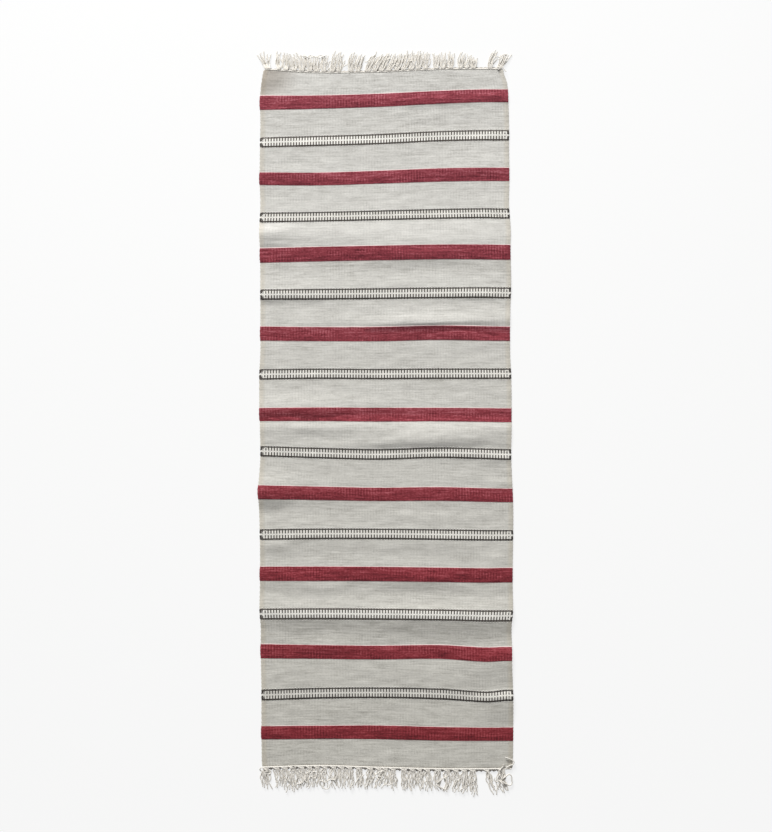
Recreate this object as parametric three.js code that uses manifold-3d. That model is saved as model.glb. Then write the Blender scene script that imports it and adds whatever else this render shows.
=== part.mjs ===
// A flat-woven cotton runner, striped across, with a fringe of warp ends at each short end.
// It lies on a floor at z = 0. Millimetres: +X across the rug, +Y along it, +Z up, and the
// origin is on the floor under the middle of the rug.
import * as THREE from 'three';
import { mergeVertices } from 'three/addons/utils/BufferGeometryUtils.js';
import Module from 'manifold-3d';

const wasm = await Module();
wasm.setup();

// The cloth: its thickness, and how many columns and rows of faces its sheet has.
const CLOTH_THICKNESS = 4;
const CLOTH_COLUMNS = 10;
const CLOTH_ROWS = 126;

// The two selvedges: how far left and right of the middle each one runs, along the rug.
// The corners at the head are drawn in, and the sixth red stripe swells to the left.
const SELVEDGES = [
  { along: -966, left: -347, right: 356 },
  { along: -942, left: -349, right: 359 },
  { along: -816, left: -349, right: 360 },
  { along: -690, left: -350, right: 358 },
  { along: -564, left: -353, right: 360 },
  { along: -438, left: -354, right: 358 },
  { along: -228, left: -356, right: 359 },
  { along: -186, left: -360, right: 358 },
  { along: -144, left: -354, right: 355 },
  { along: 108, left: -354, right: 355 },
  { along: 234, left: -352, right: 352 },
  { along: 402, left: -350, right: 351 },
  { along: 486, left: -355, right: 353 },
  { along: 612, left: -351, right: 347 },
  { along: 696, left: -355, right: 348 },
  { along: 822, left: -352, right: 345 },
  { along: 906, left: -354, right: 347 },
  { along: 934, left: -350, right: 346 },
  { along: 956, left: -348, right: 340 },
  { along: 979, left: -345, right: 332 },
  { along: 992, left: -340, right: 329 },
];

// The two woven ends: where the last weft lies, from the left side of the rug to the right.
const ENDS = [
  { across: -360, head: 990, foot: -961 },
  { across: -268, head: 983, foot: -958 },
  { across: -162, head: 980, foot: -956 },
  { across: -78, head: 981, foot: -955 },
  { across: -22, head: 983, foot: -961 },
  { across: 85, head: 985, foot: -963 },
  { across: 163, head: 991, foot: -965 },
  { across: 253, head: 992, foot: -965 },
  { across: 360, head: 989, foot: -962 },
];

// The soft ripples that run across the cloth. Each row is one crest: where it lies on the left
// and on the right, how wide its slopes to the head and to the foot are, and how high it
// stands on the left, in the middle and on the right.
const RIPPLES = [
  { crestLeft: 772, crestRight: 788, toHead: 60, toFoot: 60, left: 0.6, middle: 1.2, right: 1.0 },
  { crestLeft: 522, crestRight: 536, toHead: 52, toFoot: 44, left: 4.2, middle: 2.2, right: 1.2 },
  { crestLeft: 374, crestRight: 378, toHead: 62, toFoot: 46, left: 2.8, middle: 1.0, right: 1.6 },
  { crestLeft: 284, crestRight: 294, toHead: 46, toFoot: 30, left: 0.4, middle: 2.4, right: 4.0 },
  { crestLeft: 56, crestRight: 62, toHead: 66, toFoot: 40, left: 3.2, middle: 1.2, right: 0.8 },
  { crestLeft: -14, crestRight: -10, toHead: 34, toFoot: 40, left: 1.4, middle: 3.0, right: 3.4 },
  { crestLeft: -60, crestRight: -50, toHead: 30, toFoot: 26, left: 0.2, middle: 2.0, right: 2.4 },
  { crestLeft: -172, crestRight: -200, toHead: 64, toFoot: 52, left: 4.0, middle: 1.0, right: 0.8 },
  { crestLeft: -304, crestRight: -330, toHead: 58, toFoot: 56, left: 3.4, middle: 1.2, right: 1.0 },
  { crestLeft: -410, crestRight: -422, toHead: 44, toFoot: 58, left: 2.0, middle: 2.4, right: 3.2 },
  { crestLeft: -522, crestRight: -530, toHead: 56, toFoot: 68, left: 6.0, middle: 6.6, right: 7.0 },
  { crestLeft: -706, crestRight: -716, toHead: 70, toFoot: 70, left: 0.8, middle: 0.6, right: 1.8 },
];

// Each fringe: a cord twined along the cloth's end, 0.3 mm clear of it, and the locks of warp
// yarn that it holds. A strand is a three-sided bar that lies flat on the floor.
const CORD_GAP = 0.3;
const CORD_HEIGHT = 4;
const STRAND_WIDTH = 2.7;
const STRAND_HEIGHT = 2.8;
const STRAND_PITCH = 4.3;
const STRAND_STEPS = 4;
const ROOT_DEPTH = 2;

// The locks of each fringe, from left to right: where the middle of the lock leaves the cord,
// how many strands it has, how far its tip leans to the right, how far it bows to the right
// half way, how far its strands spread apart at the tip, and how long it is.
const HEAD_CORD_WIDTH = 4.5;
const HEAD_LOCKS = [
  { across: -330, strands: 5, lean: -12, bow: -2, spread: 12, length: 47 },
  { across: -299, strands: 3, lean: 0, bow: -3, spread: 1, length: 51 },
  { across: -279, strands: 4, lean: -4, bow: 1, spread: 0, length: 48 },
  { across: -256, strands: 4, lean: -9, bow: 3, spread: 1, length: 46 },
  { across: -235, strands: 4, lean: -11, bow: 4, spread: 1, length: 49 },
  { across: -213, strands: 4, lean: -12, bow: 4, spread: 2, length: 47 },
  { across: -193, strands: 4, lean: 0, bow: -3, spread: 1, length: 44 },
  { across: -173, strands: 4, lean: 5, bow: -2, spread: 1, length: 46 },
  { across: -150, strands: 4, lean: 11, bow: 1, spread: 2, length: 55 },
  { across: -131, strands: 3, lean: 9, bow: -1, spread: 0, length: 53 },
  { across: -97, strands: 5, lean: 8, bow: -2, spread: 1, length: 52 },
  { across: -78, strands: 4, lean: 13, bow: -3, spread: 1, length: 48 },
  { across: -51, strands: 5, lean: 22, bow: 0, spread: 1, length: 44 },
  { across: -32, strands: 4, lean: 25, bow: 1, spread: 0, length: 47 },
  { across: -14, strands: 4, lean: 24, bow: 3, spread: 0, length: 49 },
  { across: 7, strands: 4, lean: 21, bow: 5, spread: 0, length: 46 },
  { across: 28, strands: 4, lean: 17, bow: 6, spread: 0, length: 48 },
  { across: 49, strands: 4, lean: 13, bow: 5, spread: 0, length: 50 },
  { across: 70, strands: 4, lean: 10, bow: 3, spread: 0, length: 47 },
  { across: 91, strands: 4, lean: 8, bow: 1, spread: 1, length: 54 },
  { across: 111, strands: 4, lean: 7, bow: -2, spread: 0, length: 46 },
  { across: 141, strands: 4, lean: -3, bow: 2, spread: 1, length: 43 },
  { across: 160, strands: 4, lean: -2, bow: 1, spread: 1, length: 46 },
  { across: 181, strands: 4, lean: 1, bow: 2, spread: 2, length: 45 },
  { across: 209, strands: 4, lean: 7, bow: -3, spread: 1, length: 44 },
  { across: 226, strands: 3, lean: 8, bow: 3, spread: 1, length: 39 },
  { across: 245, strands: 4, lean: 4, bow: 1, spread: 1, length: 30 },
  { across: 291, strands: 4, lean: 16, bow: -2, spread: 0, length: 48 },
  { across: 318, strands: 5, lean: 20, bow: 2, spread: 7, length: 40 },
];

const FOOT_CORD_WIDTH = 6;
const FOOT_LOCKS = [
  { across: -335, strands: 5, lean: 4, bow: -6, spread: 4, length: 58 },
  { across: -305, strands: 4, lean: 5, bow: 7, spread: 2, length: 55 },
  { across: -282, strands: 4, lean: 6, bow: 5, spread: 1, length: 66 },
  { across: -260, strands: 5, lean: 5, bow: 4, spread: 1, length: 68 },
  { across: -235, strands: 4, lean: 3, bow: 4, spread: 2, length: 60 },
  { across: -213, strands: 4, lean: 1, bow: 2, spread: 1, length: 58 },
  { across: -191, strands: 4, lean: -1, bow: -1, spread: 1, length: 57 },
  { across: -169, strands: 4, lean: -2, bow: -4, spread: 2, length: 59 },
  { across: -145, strands: 4, lean: 4, bow: -3, spread: 2, length: 60 },
  { across: -123, strands: 4, lean: 3, bow: 1, spread: 1, length: 59 },
  { across: -101, strands: 4, lean: 2, bow: 2, spread: 2, length: 58 },
  { across: -76, strands: 5, lean: 0, bow: 4, spread: 0, length: 56 },
  { across: -44, strands: 5, lean: -7, bow: 4, spread: 2, length: 56 },
  { across: -19, strands: 4, lean: -7, bow: 5, spread: 0, length: 54 },
  { across: 1, strands: 3, lean: -4, bow: 4, spread: 1, length: 53 },
  { across: 21, strands: 4, lean: 2, bow: 0, spread: 0, length: 58 },
  { across: 51, strands: 5, lean: 1, bow: 2, spread: 0, length: 59 },
  { across: 76, strands: 4, lean: -3, bow: 1, spread: 0, length: 58 },
  { across: 97, strands: 3, lean: 4, bow: -3, spread: 0, length: 57 },
  { across: 117, strands: 4, lean: 4, bow: 2, spread: 1, length: 60 },
  { across: 147, strands: 5, lean: 0, bow: -6, spread: 0, length: 58 },
  { across: 172, strands: 4, lean: -4, bow: 5, spread: 0, length: 60 },
  { across: 197, strands: 4, lean: -3, bow: 3, spread: 1, length: 63 },
  { across: 220, strands: 4, lean: -1, bow: 2, spread: 1, length: 66 },
  { across: 243, strands: 5, lean: 4, bow: 0, spread: 1, length: 72 },
  { across: 284, strands: 3, lean: 18, bow: 1, spread: 1, length: 63 },
  { across: 325, strands: 6, lean: 4, bow: -4, spread: 7, length: 65 },
];

// The colour and roughness of the two yarns.
const GROUND_YARN = { color: 0xc9c6be, roughness: 0.95, metalness: 0 };
const FRINGE_YARN = { color: 0xe4e0d4, roughness: 0.92, metalness: 0 };

// A smooth curve through the rows of a table: each stretch between two rows is a cubic whose
// slope at a row is the slope between that row's two neighbours.
function tableCurve(rows, from, to, at) {
  const last = rows.length - 2;
  let index = rows.findIndex((row) => row[from] > at) - 1;
  if (index < 0) index = at < rows[0][from] ? 0 : last;
  index = Math.min(index, last);
  const slope = (low, high) => (rows[high][to] - rows[low][to]) / (rows[high][from] - rows[low][from]);
  const span = rows[index + 1][from] - rows[index][from];
  const part = THREE.MathUtils.clamp((at - rows[index][from]) / span, 0, 1);
  const startSlope = slope(Math.max(index - 1, 0), index + 1) * span;
  const endSlope = slope(index, Math.min(index + 2, rows.length - 1)) * span;
  const start = rows[index][to];
  const end = rows[index + 1][to];
  const square = part * part;
  const cube = square * part;
  return (
    start * (2 * cube - 3 * square + 1) +
    end * (3 * square - 2 * cube) +
    startSlope * (cube - 2 * square + part) +
    endSlope * (cube - square)
  );
}

// Where a point of the sheet lies on the floor: across and along run from 0 to 1.
function placeInPlan(across, along) {
  const middleOut = THREE.MathUtils.lerp(SELVEDGES[0].left, SELVEDGES[0].right, across);
  const foot = tableCurve(ENDS, 'across', 'foot', middleOut);
  const head = tableCurve(ENDS, 'across', 'head', middleOut);
  const y = THREE.MathUtils.lerp(foot, head, along);
  const left = tableCurve(SELVEDGES, 'along', 'left', y);
  const right = tableCurve(SELVEDGES, 'along', 'right', y);
  return new THREE.Vector2(THREE.MathUtils.lerp(left, right, across), y);
}

// How high the cloth's underside is lifted off the floor by the ripples. Each ripple falls
// from its crest as half a cosine wave on either side.
function rippleLift(x, y, across) {
  let lift = 0;
  for (const ripple of RIPPLES) {
    const crest = THREE.MathUtils.lerp(ripple.crestLeft, ripple.crestRight, across);
    const away = y - crest;
    const slope = away > 0 ? ripple.toHead : ripple.toFoot;
    const part = Math.abs(away) / slope;
    if (part < 1) {
      const outer = across < 0.5 ? ripple.left : ripple.right;
      const height = THREE.MathUtils.lerp(ripple.middle, outer, Math.abs(across - 0.5) * 2);
      lift += height * 0.5 * (1 + Math.cos(Math.PI * part));
    }
  }
  return lift;
}

// A geometry with only positions, and its shared vertices merged.
function bareGeometry(geometry) {
  geometry.deleteAttribute('normal');
  geometry.deleteAttribute('uv');
  return mergeVertices(geometry, 1e-4);
}

// The cloth: a box cut into columns and rows, laid out to the selvedges and ends and lifted
// by the ripples, so that its thickness is the same all over.
function clothGeometry() {
  const geometry = bareGeometry(new THREE.BoxGeometry(1, 1, 1, CLOTH_COLUMNS, CLOTH_ROWS, 1));
  const points = geometry.attributes.position;
  for (let i = 0; i < points.count; i += 1) {
    const across = points.getX(i) + 0.5;
    const place = placeInPlan(across, points.getY(i) + 0.5);
    const lift = rippleLift(place.x, place.y, across);
    const top = points.getZ(i) > 0 ? CLOTH_THICKNESS : 0;
    points.setXYZ(i, place.x, place.y, lift + top);
  }
  return geometry;
}

// The twined cord along one end: a low strip whose inner side follows the cloth's end.
function cordGeometry(end, outwards, width) {
  const geometry = bareGeometry(new THREE.BoxGeometry(1, 1, 1, CLOTH_COLUMNS, 1, 1));
  const points = geometry.attributes.position;
  for (let i = 0; i < points.count; i += 1) {
    const edge = placeInPlan(points.getX(i) + 0.5, end);
    const isFar = points.getY(i) > 0 ? outwards > 0 : outwards < 0;
    const offset = CORD_GAP + (isFar ? width : 0);
    const z = points.getZ(i) > 0 ? CORD_HEIGHT : 0;
    points.setXYZ(i, edge.x, edge.y + outwards * offset, z);
  }
  return geometry;
}

// Where the outer side of a fringe's cord lies at a place across the rug.
function cordSide(x, end, outwards, width) {
  for (let column = 0; column < CLOTH_COLUMNS; column += 1) {
    const start = placeInPlan(column / CLOTH_COLUMNS, end);
    const stop = placeInPlan((column + 1) / CLOTH_COLUMNS, end);
    if (x <= stop.x || column === CLOTH_COLUMNS - 1) {
      const part = (x - start.x) / (stop.x - start.x);
      return THREE.MathUtils.lerp(start.y, stop.y, part) + outwards * (CORD_GAP + width);
    }
  }
  return 0;
}

// The line that one strand of a lock follows on the floor, from its root in the cord. It
// leans more and more on the way out, and bows as half a sine wave. Some strands of a lock
// follow the same line and end a little sooner.
function strandLine(lock, order, rootY, outwards) {
  const place = order - (lock.strands - 1) / 2;
  const spread = (lock.spread * place * 2) / Math.max(lock.strands - 1, 1);
  const cut = 1 - 0.05 * ((order * 2 + lock.strands) % 3);
  const line = [];
  for (let step = 0; step <= STRAND_STEPS; step += 1) {
    const part = (cut * step) / STRAND_STEPS;
    const leant = lock.lean * (0.6 * part + 0.4 * part * part) + spread * part * part;
    const bowed = lock.bow * Math.sin(Math.PI * part);
    const x = lock.across + place * STRAND_PITCH + leant + bowed;
    const rise = lock.length * part - (step === 0 ? ROOT_DEPTH : 0);
    line.push(new THREE.Vector2(x, rootY + outwards * rise));
  }
  return line;
}

// One strand: a bar of three sides along its line, with one side flat on the floor.
function strandGeometry(line) {
  const corners = [];
  line.forEach((point, step) => {
    const before = line[Math.max(step - 1, 0)];
    const after = line[Math.min(step + 1, line.length - 1)];
    const forward = after.clone().sub(before).normalize();
    const side = new THREE.Vector2(forward.y, -forward.x).multiplyScalar(STRAND_WIDTH / 2);
    corners.push([point.x - side.x, point.y - side.y, 0]);
    corners.push([point.x + side.x, point.y + side.y, 0]);
    corners.push([point.x, point.y, STRAND_HEIGHT]);
  });
  const faces = [[0, 1, 2]];
  for (let step = 0; step < line.length - 1; step += 1) {
    for (let corner = 0; corner < 3; corner += 1) {
      const a = step * 3 + corner;
      const b = step * 3 + ((corner + 1) % 3);
      faces.push([a, a + 3, b + 3], [a, b + 3, b]);
    }
  }
  const lastCorner = (line.length - 1) * 3;
  faces.push([lastCorner, lastCorner + 2, lastCorner + 1]);
  const geometry = new THREE.BufferGeometry();
  geometry.setAttribute('position', new THREE.Float32BufferAttribute(corners.flat(), 3));
  geometry.setIndex(faces.flat());
  return geometry;
}

// A closed geometry as a solid that can be joined to others.
function solidOf(geometry) {
  return new wasm.Manifold(
    new wasm.Mesh({
      numProp: 3,
      vertProperties: new Float32Array(geometry.attributes.position.array),
      triVerts: new Uint32Array(geometry.index.array),
    }),
  );
}

// The geometry of a joined solid.
function geometryOf(solid) {
  const mesh = solid.getMesh();
  const geometry = new THREE.BufferGeometry();
  geometry.setAttribute('position', new THREE.BufferAttribute(mesh.vertProperties, 3));
  geometry.setIndex(new THREE.BufferAttribute(mesh.triVerts, 1));
  return geometry;
}

// A whole fringe: the cord, with the root of every strand fused into it.
function fringeGeometry(locks, end, outwards, cordWidth) {
  const strands = [];
  for (const lock of locks) {
    for (let order = 0; order < lock.strands; order += 1) {
      const rootX = lock.across + (order - (lock.strands - 1) / 2) * STRAND_PITCH;
      const rootY = cordSide(rootX, end, outwards, cordWidth);
      strands.push(strandGeometry(strandLine(lock, order, rootY, outwards)));
    }
  }
  let fringe = solidOf(cordGeometry(end, outwards, cordWidth));
  for (const strand of strands) {
    fringe = fringe.add(solidOf(strand));
  }
  return geometryOf(fringe);
}

// A named piece of the rug.
function piece(name, geometry, finish) {
  const mesh = new THREE.Mesh(geometry, new THREE.MeshStandardMaterial(finish));
  mesh.name = name;
  return mesh;
}

const rug = new THREE.Group();
rug.add(
  piece('cloth', clothGeometry(), GROUND_YARN),
  piece('fringe_head', fringeGeometry(HEAD_LOCKS, 1, 1, HEAD_CORD_WIDTH), FRINGE_YARN),
  piece('fringe_foot', fringeGeometry(FOOT_LOCKS, 0, -1, FOOT_CORD_WIDTH), FRINGE_YARN),
);

export default rug;
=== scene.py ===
"""A flat-woven cotton runner lying on a pale floor, seen from straight above.

The cloth is weft-faced: fine grey weft hides the warp, nine crimson stripes run across it, and
between them lie eight narrow bands of black and white yarn, woven pick and pick into rows of
teeth. The warp ends leave each short end as a fringe, held by a twined cord. Metres, +X across
the runner, +Y along it towards the head, +Z up, with the floor at zero.
"""

import logging
import math
from dataclasses import dataclass, field
from enum import Enum
from typing import Any, NamedTuple

import bpy
import numpy as np
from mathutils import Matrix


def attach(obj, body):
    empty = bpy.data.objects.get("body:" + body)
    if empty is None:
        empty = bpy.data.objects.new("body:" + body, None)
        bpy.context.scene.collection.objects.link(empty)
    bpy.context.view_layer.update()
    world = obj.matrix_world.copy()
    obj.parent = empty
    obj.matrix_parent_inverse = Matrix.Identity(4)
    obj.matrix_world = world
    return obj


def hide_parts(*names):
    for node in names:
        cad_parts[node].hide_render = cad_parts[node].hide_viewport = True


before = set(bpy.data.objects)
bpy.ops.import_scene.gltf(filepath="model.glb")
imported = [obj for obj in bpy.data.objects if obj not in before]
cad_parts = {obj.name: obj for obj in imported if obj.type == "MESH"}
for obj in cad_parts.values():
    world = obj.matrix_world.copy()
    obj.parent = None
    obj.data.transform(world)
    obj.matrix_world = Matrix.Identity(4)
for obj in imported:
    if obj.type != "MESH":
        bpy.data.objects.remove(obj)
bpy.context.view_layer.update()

MM = 0.001
# The cloth's usual width in metres, and how many warps lie side by side across it.
FLAT_WIDTH = 0.707
WARPS = 176
WARP_PITCH = FLAT_WIDTH / WARPS
LOG = logging.getLogger("runner")


class Yarn(Enum):
    """The yarns of the runner, each by the name of a slot in the record."""

    GROUND = "ground_yarn"
    RED = "red_yarn"
    BLACK = "black_yarn"
    WHITE = "white_yarn"
    FRINGE = "fringe_yarn"


class End(Enum):
    """The two short ends, each with the way that points out of the cloth there."""

    HEAD = 1
    FOOT = -1


class Stripe(Enum):
    """The two kinds of stripe that cross the cloth."""

    RED = "red"
    FIGURED = "figured"


class Selvedge(NamedTuple):
    """How far left and right of the middle the selvedges run, at a place along the rug."""

    along: float
    left: float
    right: float


class WeftLine(NamedTuple):
    """Where the middle line of a stripe lies, at six places from the left to the right."""

    kind: Stripe | None
    height: float
    left: float
    mid_left: float
    middle: float
    mid_right: float
    near_right: float
    right: float


class Ripple(NamedTuple):
    """A soft ripple right across the cloth: its crest, the reach of its slopes, its height."""

    crest_left: float
    crest_right: float
    to_head: float
    to_foot: float
    left: float
    middle: float
    right: float


class Crease(NamedTuple):
    """A short crease: its crest's place and slant, its reach each way, and its height."""

    across: float
    along: float
    slant: float
    reach: float
    to_head: float
    to_foot: float
    height: float


class Lock(NamedTuple):
    """A lock of warp ends: its root's place, its strands, and how they lean, bow and spread."""

    across: float
    strands: int
    lean: float
    bow: float
    spread: float
    length: float


class Loose(NamedTuple):
    """A yarn that has left its lock: its start, its heading in degrees, its length and turn."""

    across: float
    out: float
    heading: float
    length: float
    turn: float
    height: float
    girth: float


# Places and lengths in the tables are in millimetres, and angles are in degrees.
SELVEDGES = (
    Selvedge(-966, -345, 355),
    Selvedge(-942, -347, 356),
    Selvedge(-816, -348, 357),
    Selvedge(-738, -348, 356),
    Selvedge(-690, -349, 354),
    Selvedge(-620, -350, 353),
    Selvedge(-570, -350, 352),
    Selvedge(-520, -353, 356),
    Selvedge(-438, -352, 355),
    Selvedge(-340, -352, 356),
    Selvedge(-250, -354, 357),
    Selvedge(-186, -357, 355),
    Selvedge(-144, -354, 353),
    Selvedge(-90, -351, 351),
    Selvedge(-20, -352, 352),
    Selvedge(85, -354, 352),
    Selvedge(136, -354, 351),
    Selvedge(203, -351, 348),
    Selvedge(290, -351, 348),
    Selvedge(402, -351, 351),
    Selvedge(486, -352, 349),
    Selvedge(539, -354, 350),
    Selvedge(612, -351, 345),
    Selvedge(680, -353, 346),
    Selvedge(774, -352, 345),
    Selvedge(840, -351, 345),
    Selvedge(906, -352, 343),
    Selvedge(934, -350, 342),
    Selvedge(956, -347, 339),
    Selvedge(979, -343, 331),
    Selvedge(992, -339, 329),
)

# From the foot to the head. The first and last rows are the two woven ends.
WEFT_PLACES = (-335, -184, -16, 152, 280, 335)
WEFT_LINES = (
    WeftLine(None, 0, -960, -956, -961, -965, -965, -964),
    WeftLine(Stripe.RED, 42.5, -865, -864, -864, -868, -869, -869),
    WeftLine(Stripe.FIGURED, 32.5, -760, -755, -753.5, -757, -765, -760),
    WeftLine(Stripe.RED, 44, -637, -639, -641, -639, -646, -644),
    WeftLine(Stripe.FIGURED, 33.5, -533, -532, -533, -535, -538, -538),
    WeftLine(Stripe.RED, 45.5, -420, -420, -421, -423, -425, -424),
    WeftLine(Stripe.FIGURED, 32, -311, -309, -309, -311, -313, -313),
    WeftLine(Stripe.RED, 43, -192, -195, -198, -197, -200, -201),
    WeftLine(Stripe.FIGURED, 32, -78, -83, -87, -82, -85, -87),
    WeftLine(Stripe.RED, 43, 25, 26, 25, 25, 24, 23),
    WeftLine(Stripe.FIGURED, 31.5, 137, 139, 138, 139, 139, 139),
    WeftLine(Stripe.RED, 45, 252, 250, 250, 254, 252, 251),
    WeftLine(Stripe.FIGURED, 32.5, 360, 361, 363, 365, 366, 365),
    WeftLine(Stripe.RED, 46.5, 470, 474, 477, 480, 480, 479),
    WeftLine(Stripe.FIGURED, 30, 576, 578, 582, 586, 588, 587),
    WeftLine(Stripe.RED, 41, 685, 684, 689, 695, 697, 697),
    WeftLine(Stripe.FIGURED, 31, 786, 790, 795, 803, 806, 806),
    WeftLine(Stripe.RED, 42, 897, 899, 904, 912, 917, 917),
    WeftLine(None, 0, 988, 981, 983, 990, 991, 991),
)

# How much lighter or darker than usual the ground's yarn is, lot by lot from foot to head.
DYE_LOTS = (
    (-960, 0.0),
    (-800, 0.0),
    (-700, 0.04),
    (-580, -0.07),
    (-480, 0.03),
    (-360, 0.07),
    (-190, 0.02),
    (-20, 0.1),
    (85, 0.06),
    (195, 0.07),
    (330, 0.1),
    (400, 0.08),
    (442, -0.06),
    (530, 0.24),
    (615, 0.14),
    (665, 0.0),
    (745, 0.03),
    (850, -0.04),
    (990, 0.0),
)

# The same for the crimson yarn.
RED_LOTS = (
    (-990, -0.05),
    (-866, -0.05),
    (-642, 0.0),
    (-422, -0.065),
    (-197, -0.01),
    (25, 0.03),
    (250, 0.01),
    (478, -0.12),
    (690, -0.07),
    (990, -0.05),
)

# How much lighter or darker than usual the floats of each figured band are, foot to head.
BAND_TONES = (-0.4, 0.36, -0.13, -0.11, 0.02, 0.04, -0.03, 0.4)

RIPPLES = (
    Ripple(772, 780, 60, 50, 0.6, 0.9, 0.2),
    Ripple(529, 538, 52, 44, 4.6, 2.4, 1.2),
    Ripple(374, 378, 62, 46, 4.4, 1.8, 1.6),
    Ripple(280, 288, 46, 26, 0.4, 2.6, 4.0),
    Ripple(42, 50, 50, 36, 4.6, 2.2, 0.8),
    Ripple(-10, -13, 30, 40, 3.0, 4.8, 4.6),
    Ripple(-60, -50, 30, 26, 0.2, 2.0, 2.4),
    Ripple(-190, -204, 64, 54, 4.4, 1.0, 0.8),
    Ripple(-304, -330, 58, 56, 2.8, 2.2, 1.6),
    Ripple(-410, -422, 50, 58, 2.0, 2.4, 1.6),
    Ripple(-522, -530, 56, 68, 6.0, 6.6, 7.0),
    Ripple(-706, -716, 70, 70, 0.8, 0.6, 1.8),
)

CREASES = (
    Crease(-345, 984, 0.3, 140, 30, 70, 10.0),
    Crease(130, 905, 0.02, 320, 20, 28, 3.2),
    Crease(330, 914, 0.0, 120, 18, 30, 2.2),
    Crease(120, 814, 0.03, 200, 24, 16, 1.8),
    Crease(-200, 790, 0.0, 200, 20, 26, 1.2),
    Crease(320, 812, 0.0, 60, 20, 26, 2.0),
    Crease(220, 716, 0.02, 220, 52, 38, 4.0),
    Crease(-285, 704, 0.0, 140, 24, 40, 2.2),
    Crease(90, 499, 0.06, 330, 44, 26, 2.2),
    Crease(-330, 533, 0.1, 90, 30, 48, 5.6),
    Crease(-310, 501, 0.0, 90, 12, 16, 1.5),
    Crease(95, 477, 0.03, 230, 18, 48, 5.4),
    Crease(-300, 358, 0.02, 240, 30, 36, 3.3),
    Crease(250, 360, 0.02, 150, 30, 26, 2.2),
    Crease(-50, 326, 0.0, 90, 24, 24, 1.3),
    Crease(130, 283, 0.03, 260, 29, 11, 3.3),
    Crease(210, 250, 0.0, 90, 16, 26, 2.2),
    Crease(300, 232, 0.0, 150, 20, 44, 2.6),
    Crease(-240, 40, 0.0, 260, 64, 44, 4.2),
    Crease(-240, -12, 0.0, 150, 14, 20, 1.1),
    Crease(-320, -44, 0.0, 90, 40, 24, 1.6),
    Crease(120, -43, 0.03, 290, 42, 33, 7.2),
    Crease(240, -84, 0.0, 200, 22, 36, 2.6),
    Crease(310, -100, 0.0, 80, 20, 30, 2.4),
    Crease(-330, -196, 0.0, 110, 84, 62, 9.0),
    Crease(320, -166, 0.0, 60, 20, 30, 2.0),
    Crease(120, -262, 0.0, 220, 24, 30, 1.8),
    Crease(-315, -343, 0.03, 105, 30, 40, 4.2),
    Crease(150, -336, 0.0, 180, 24, 36, 1.2),
    Crease(310, -376, 0.0, 60, 20, 34, 2.2),
    Crease(90, -436, 0.0, 190, 34, 42, 3.6),
    Crease(-220, -438, 0.0, 170, 34, 56, 4.4),
    Crease(-180, -464, 0.0, 90, 24, 36, 2.6),
    Crease(120, -523, -0.01, 330, 20, 24, 2.6),
    Crease(-240, -520, 0.0, 160, 20, 24, 1.0),
    Crease(140, -550, -0.02, 330, 34, 70, 4.6),
    Crease(-220, -540, 0.0, 200, 26, 40, 1.8),
    Crease(-150, -624, 0.0, 150, 34, 30, 3.0),
    Crease(335, -648, 0.12, 190, 50, 84, 8.5),
    Crease(345, -768, 0.0, 125, 30, 84, 8.5),
    Crease(120, -846, 0.0, 260, 60, 70, 1.4),
)

HEAD_LOCKS = (
    Lock(-330, 5, -12, -2, 12, 47),
    Lock(-299, 3, 0, -3, 1, 51),
    Lock(-279, 4, -4, 1, 0, 48),
    Lock(-256, 4, -9, 3, 1, 46),
    Lock(-235, 4, -11, 4, 1, 49),
    Lock(-213, 4, -12, 4, 2, 47),
    Lock(-193, 4, 0, -3, 1, 44),
    Lock(-173, 4, 5, -2, 1, 46),
    Lock(-150, 4, 11, 1, 2, 55),
    Lock(-131, 3, 9, -1, 0, 53),
    Lock(-97, 5, 8, -2, 1, 52),
    Lock(-78, 4, 13, -3, 1, 48),
    Lock(-51, 5, 22, 0, 1, 44),
    Lock(-32, 4, 25, 1, 0, 47),
    Lock(-14, 4, 24, 3, 0, 49),
    Lock(7, 4, 21, 5, 0, 46),
    Lock(28, 4, 17, 6, 0, 48),
    Lock(49, 4, 13, 5, 0, 50),
    Lock(70, 4, 10, 3, 0, 47),
    Lock(91, 4, 8, 1, 1, 54),
    Lock(111, 4, 7, -2, 0, 46),
    Lock(141, 4, -3, 2, 1, 43),
    Lock(160, 4, -2, 1, 1, 46),
    Lock(181, 4, 1, 2, 2, 45),
    Lock(209, 4, 7, -3, 1, 44),
    Lock(226, 3, 8, 3, 1, 39),
    Lock(245, 4, 4, 1, 1, 30),
    Lock(291, 4, 16, -2, 0, 48),
    Lock(318, 5, 20, 2, 7, 40),
)

FOOT_LOCKS = (
    Lock(-335, 5, 4, -6, 4, 58),
    Lock(-305, 4, 5, 7, 2, 55),
    Lock(-282, 4, 6, 5, 1, 66),
    Lock(-260, 5, 5, 4, 1, 68),
    Lock(-235, 4, 3, 4, 2, 60),
    Lock(-213, 4, 1, 2, 1, 58),
    Lock(-191, 4, -1, -1, 1, 57),
    Lock(-169, 4, -2, -4, 2, 59),
    Lock(-145, 4, 4, -3, 2, 60),
    Lock(-123, 4, 3, 1, 1, 59),
    Lock(-101, 4, 2, 2, 2, 58),
    Lock(-76, 5, 0, 4, 0, 56),
    Lock(-44, 5, -7, 4, 2, 56),
    Lock(-19, 4, -7, 5, 0, 54),
    Lock(1, 3, -4, 4, 1, 53),
    Lock(21, 4, 2, 0, 0, 58),
    Lock(51, 5, 1, 2, 0, 59),
    Lock(76, 4, -3, 1, 0, 58),
    Lock(97, 3, 4, -3, 0, 57),
    Lock(117, 4, 4, 2, 1, 60),
    Lock(147, 5, 0, -6, 0, 58),
    Lock(172, 4, -4, 5, 0, 60),
    Lock(197, 4, -3, 3, 1, 63),
    Lock(220, 4, -1, 2, 1, 66),
    Lock(243, 5, 4, 0, 1, 72),
    Lock(284, 3, 18, 1, 1, 63),
    Lock(325, 6, 4, -4, 7, 65),
)

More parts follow.
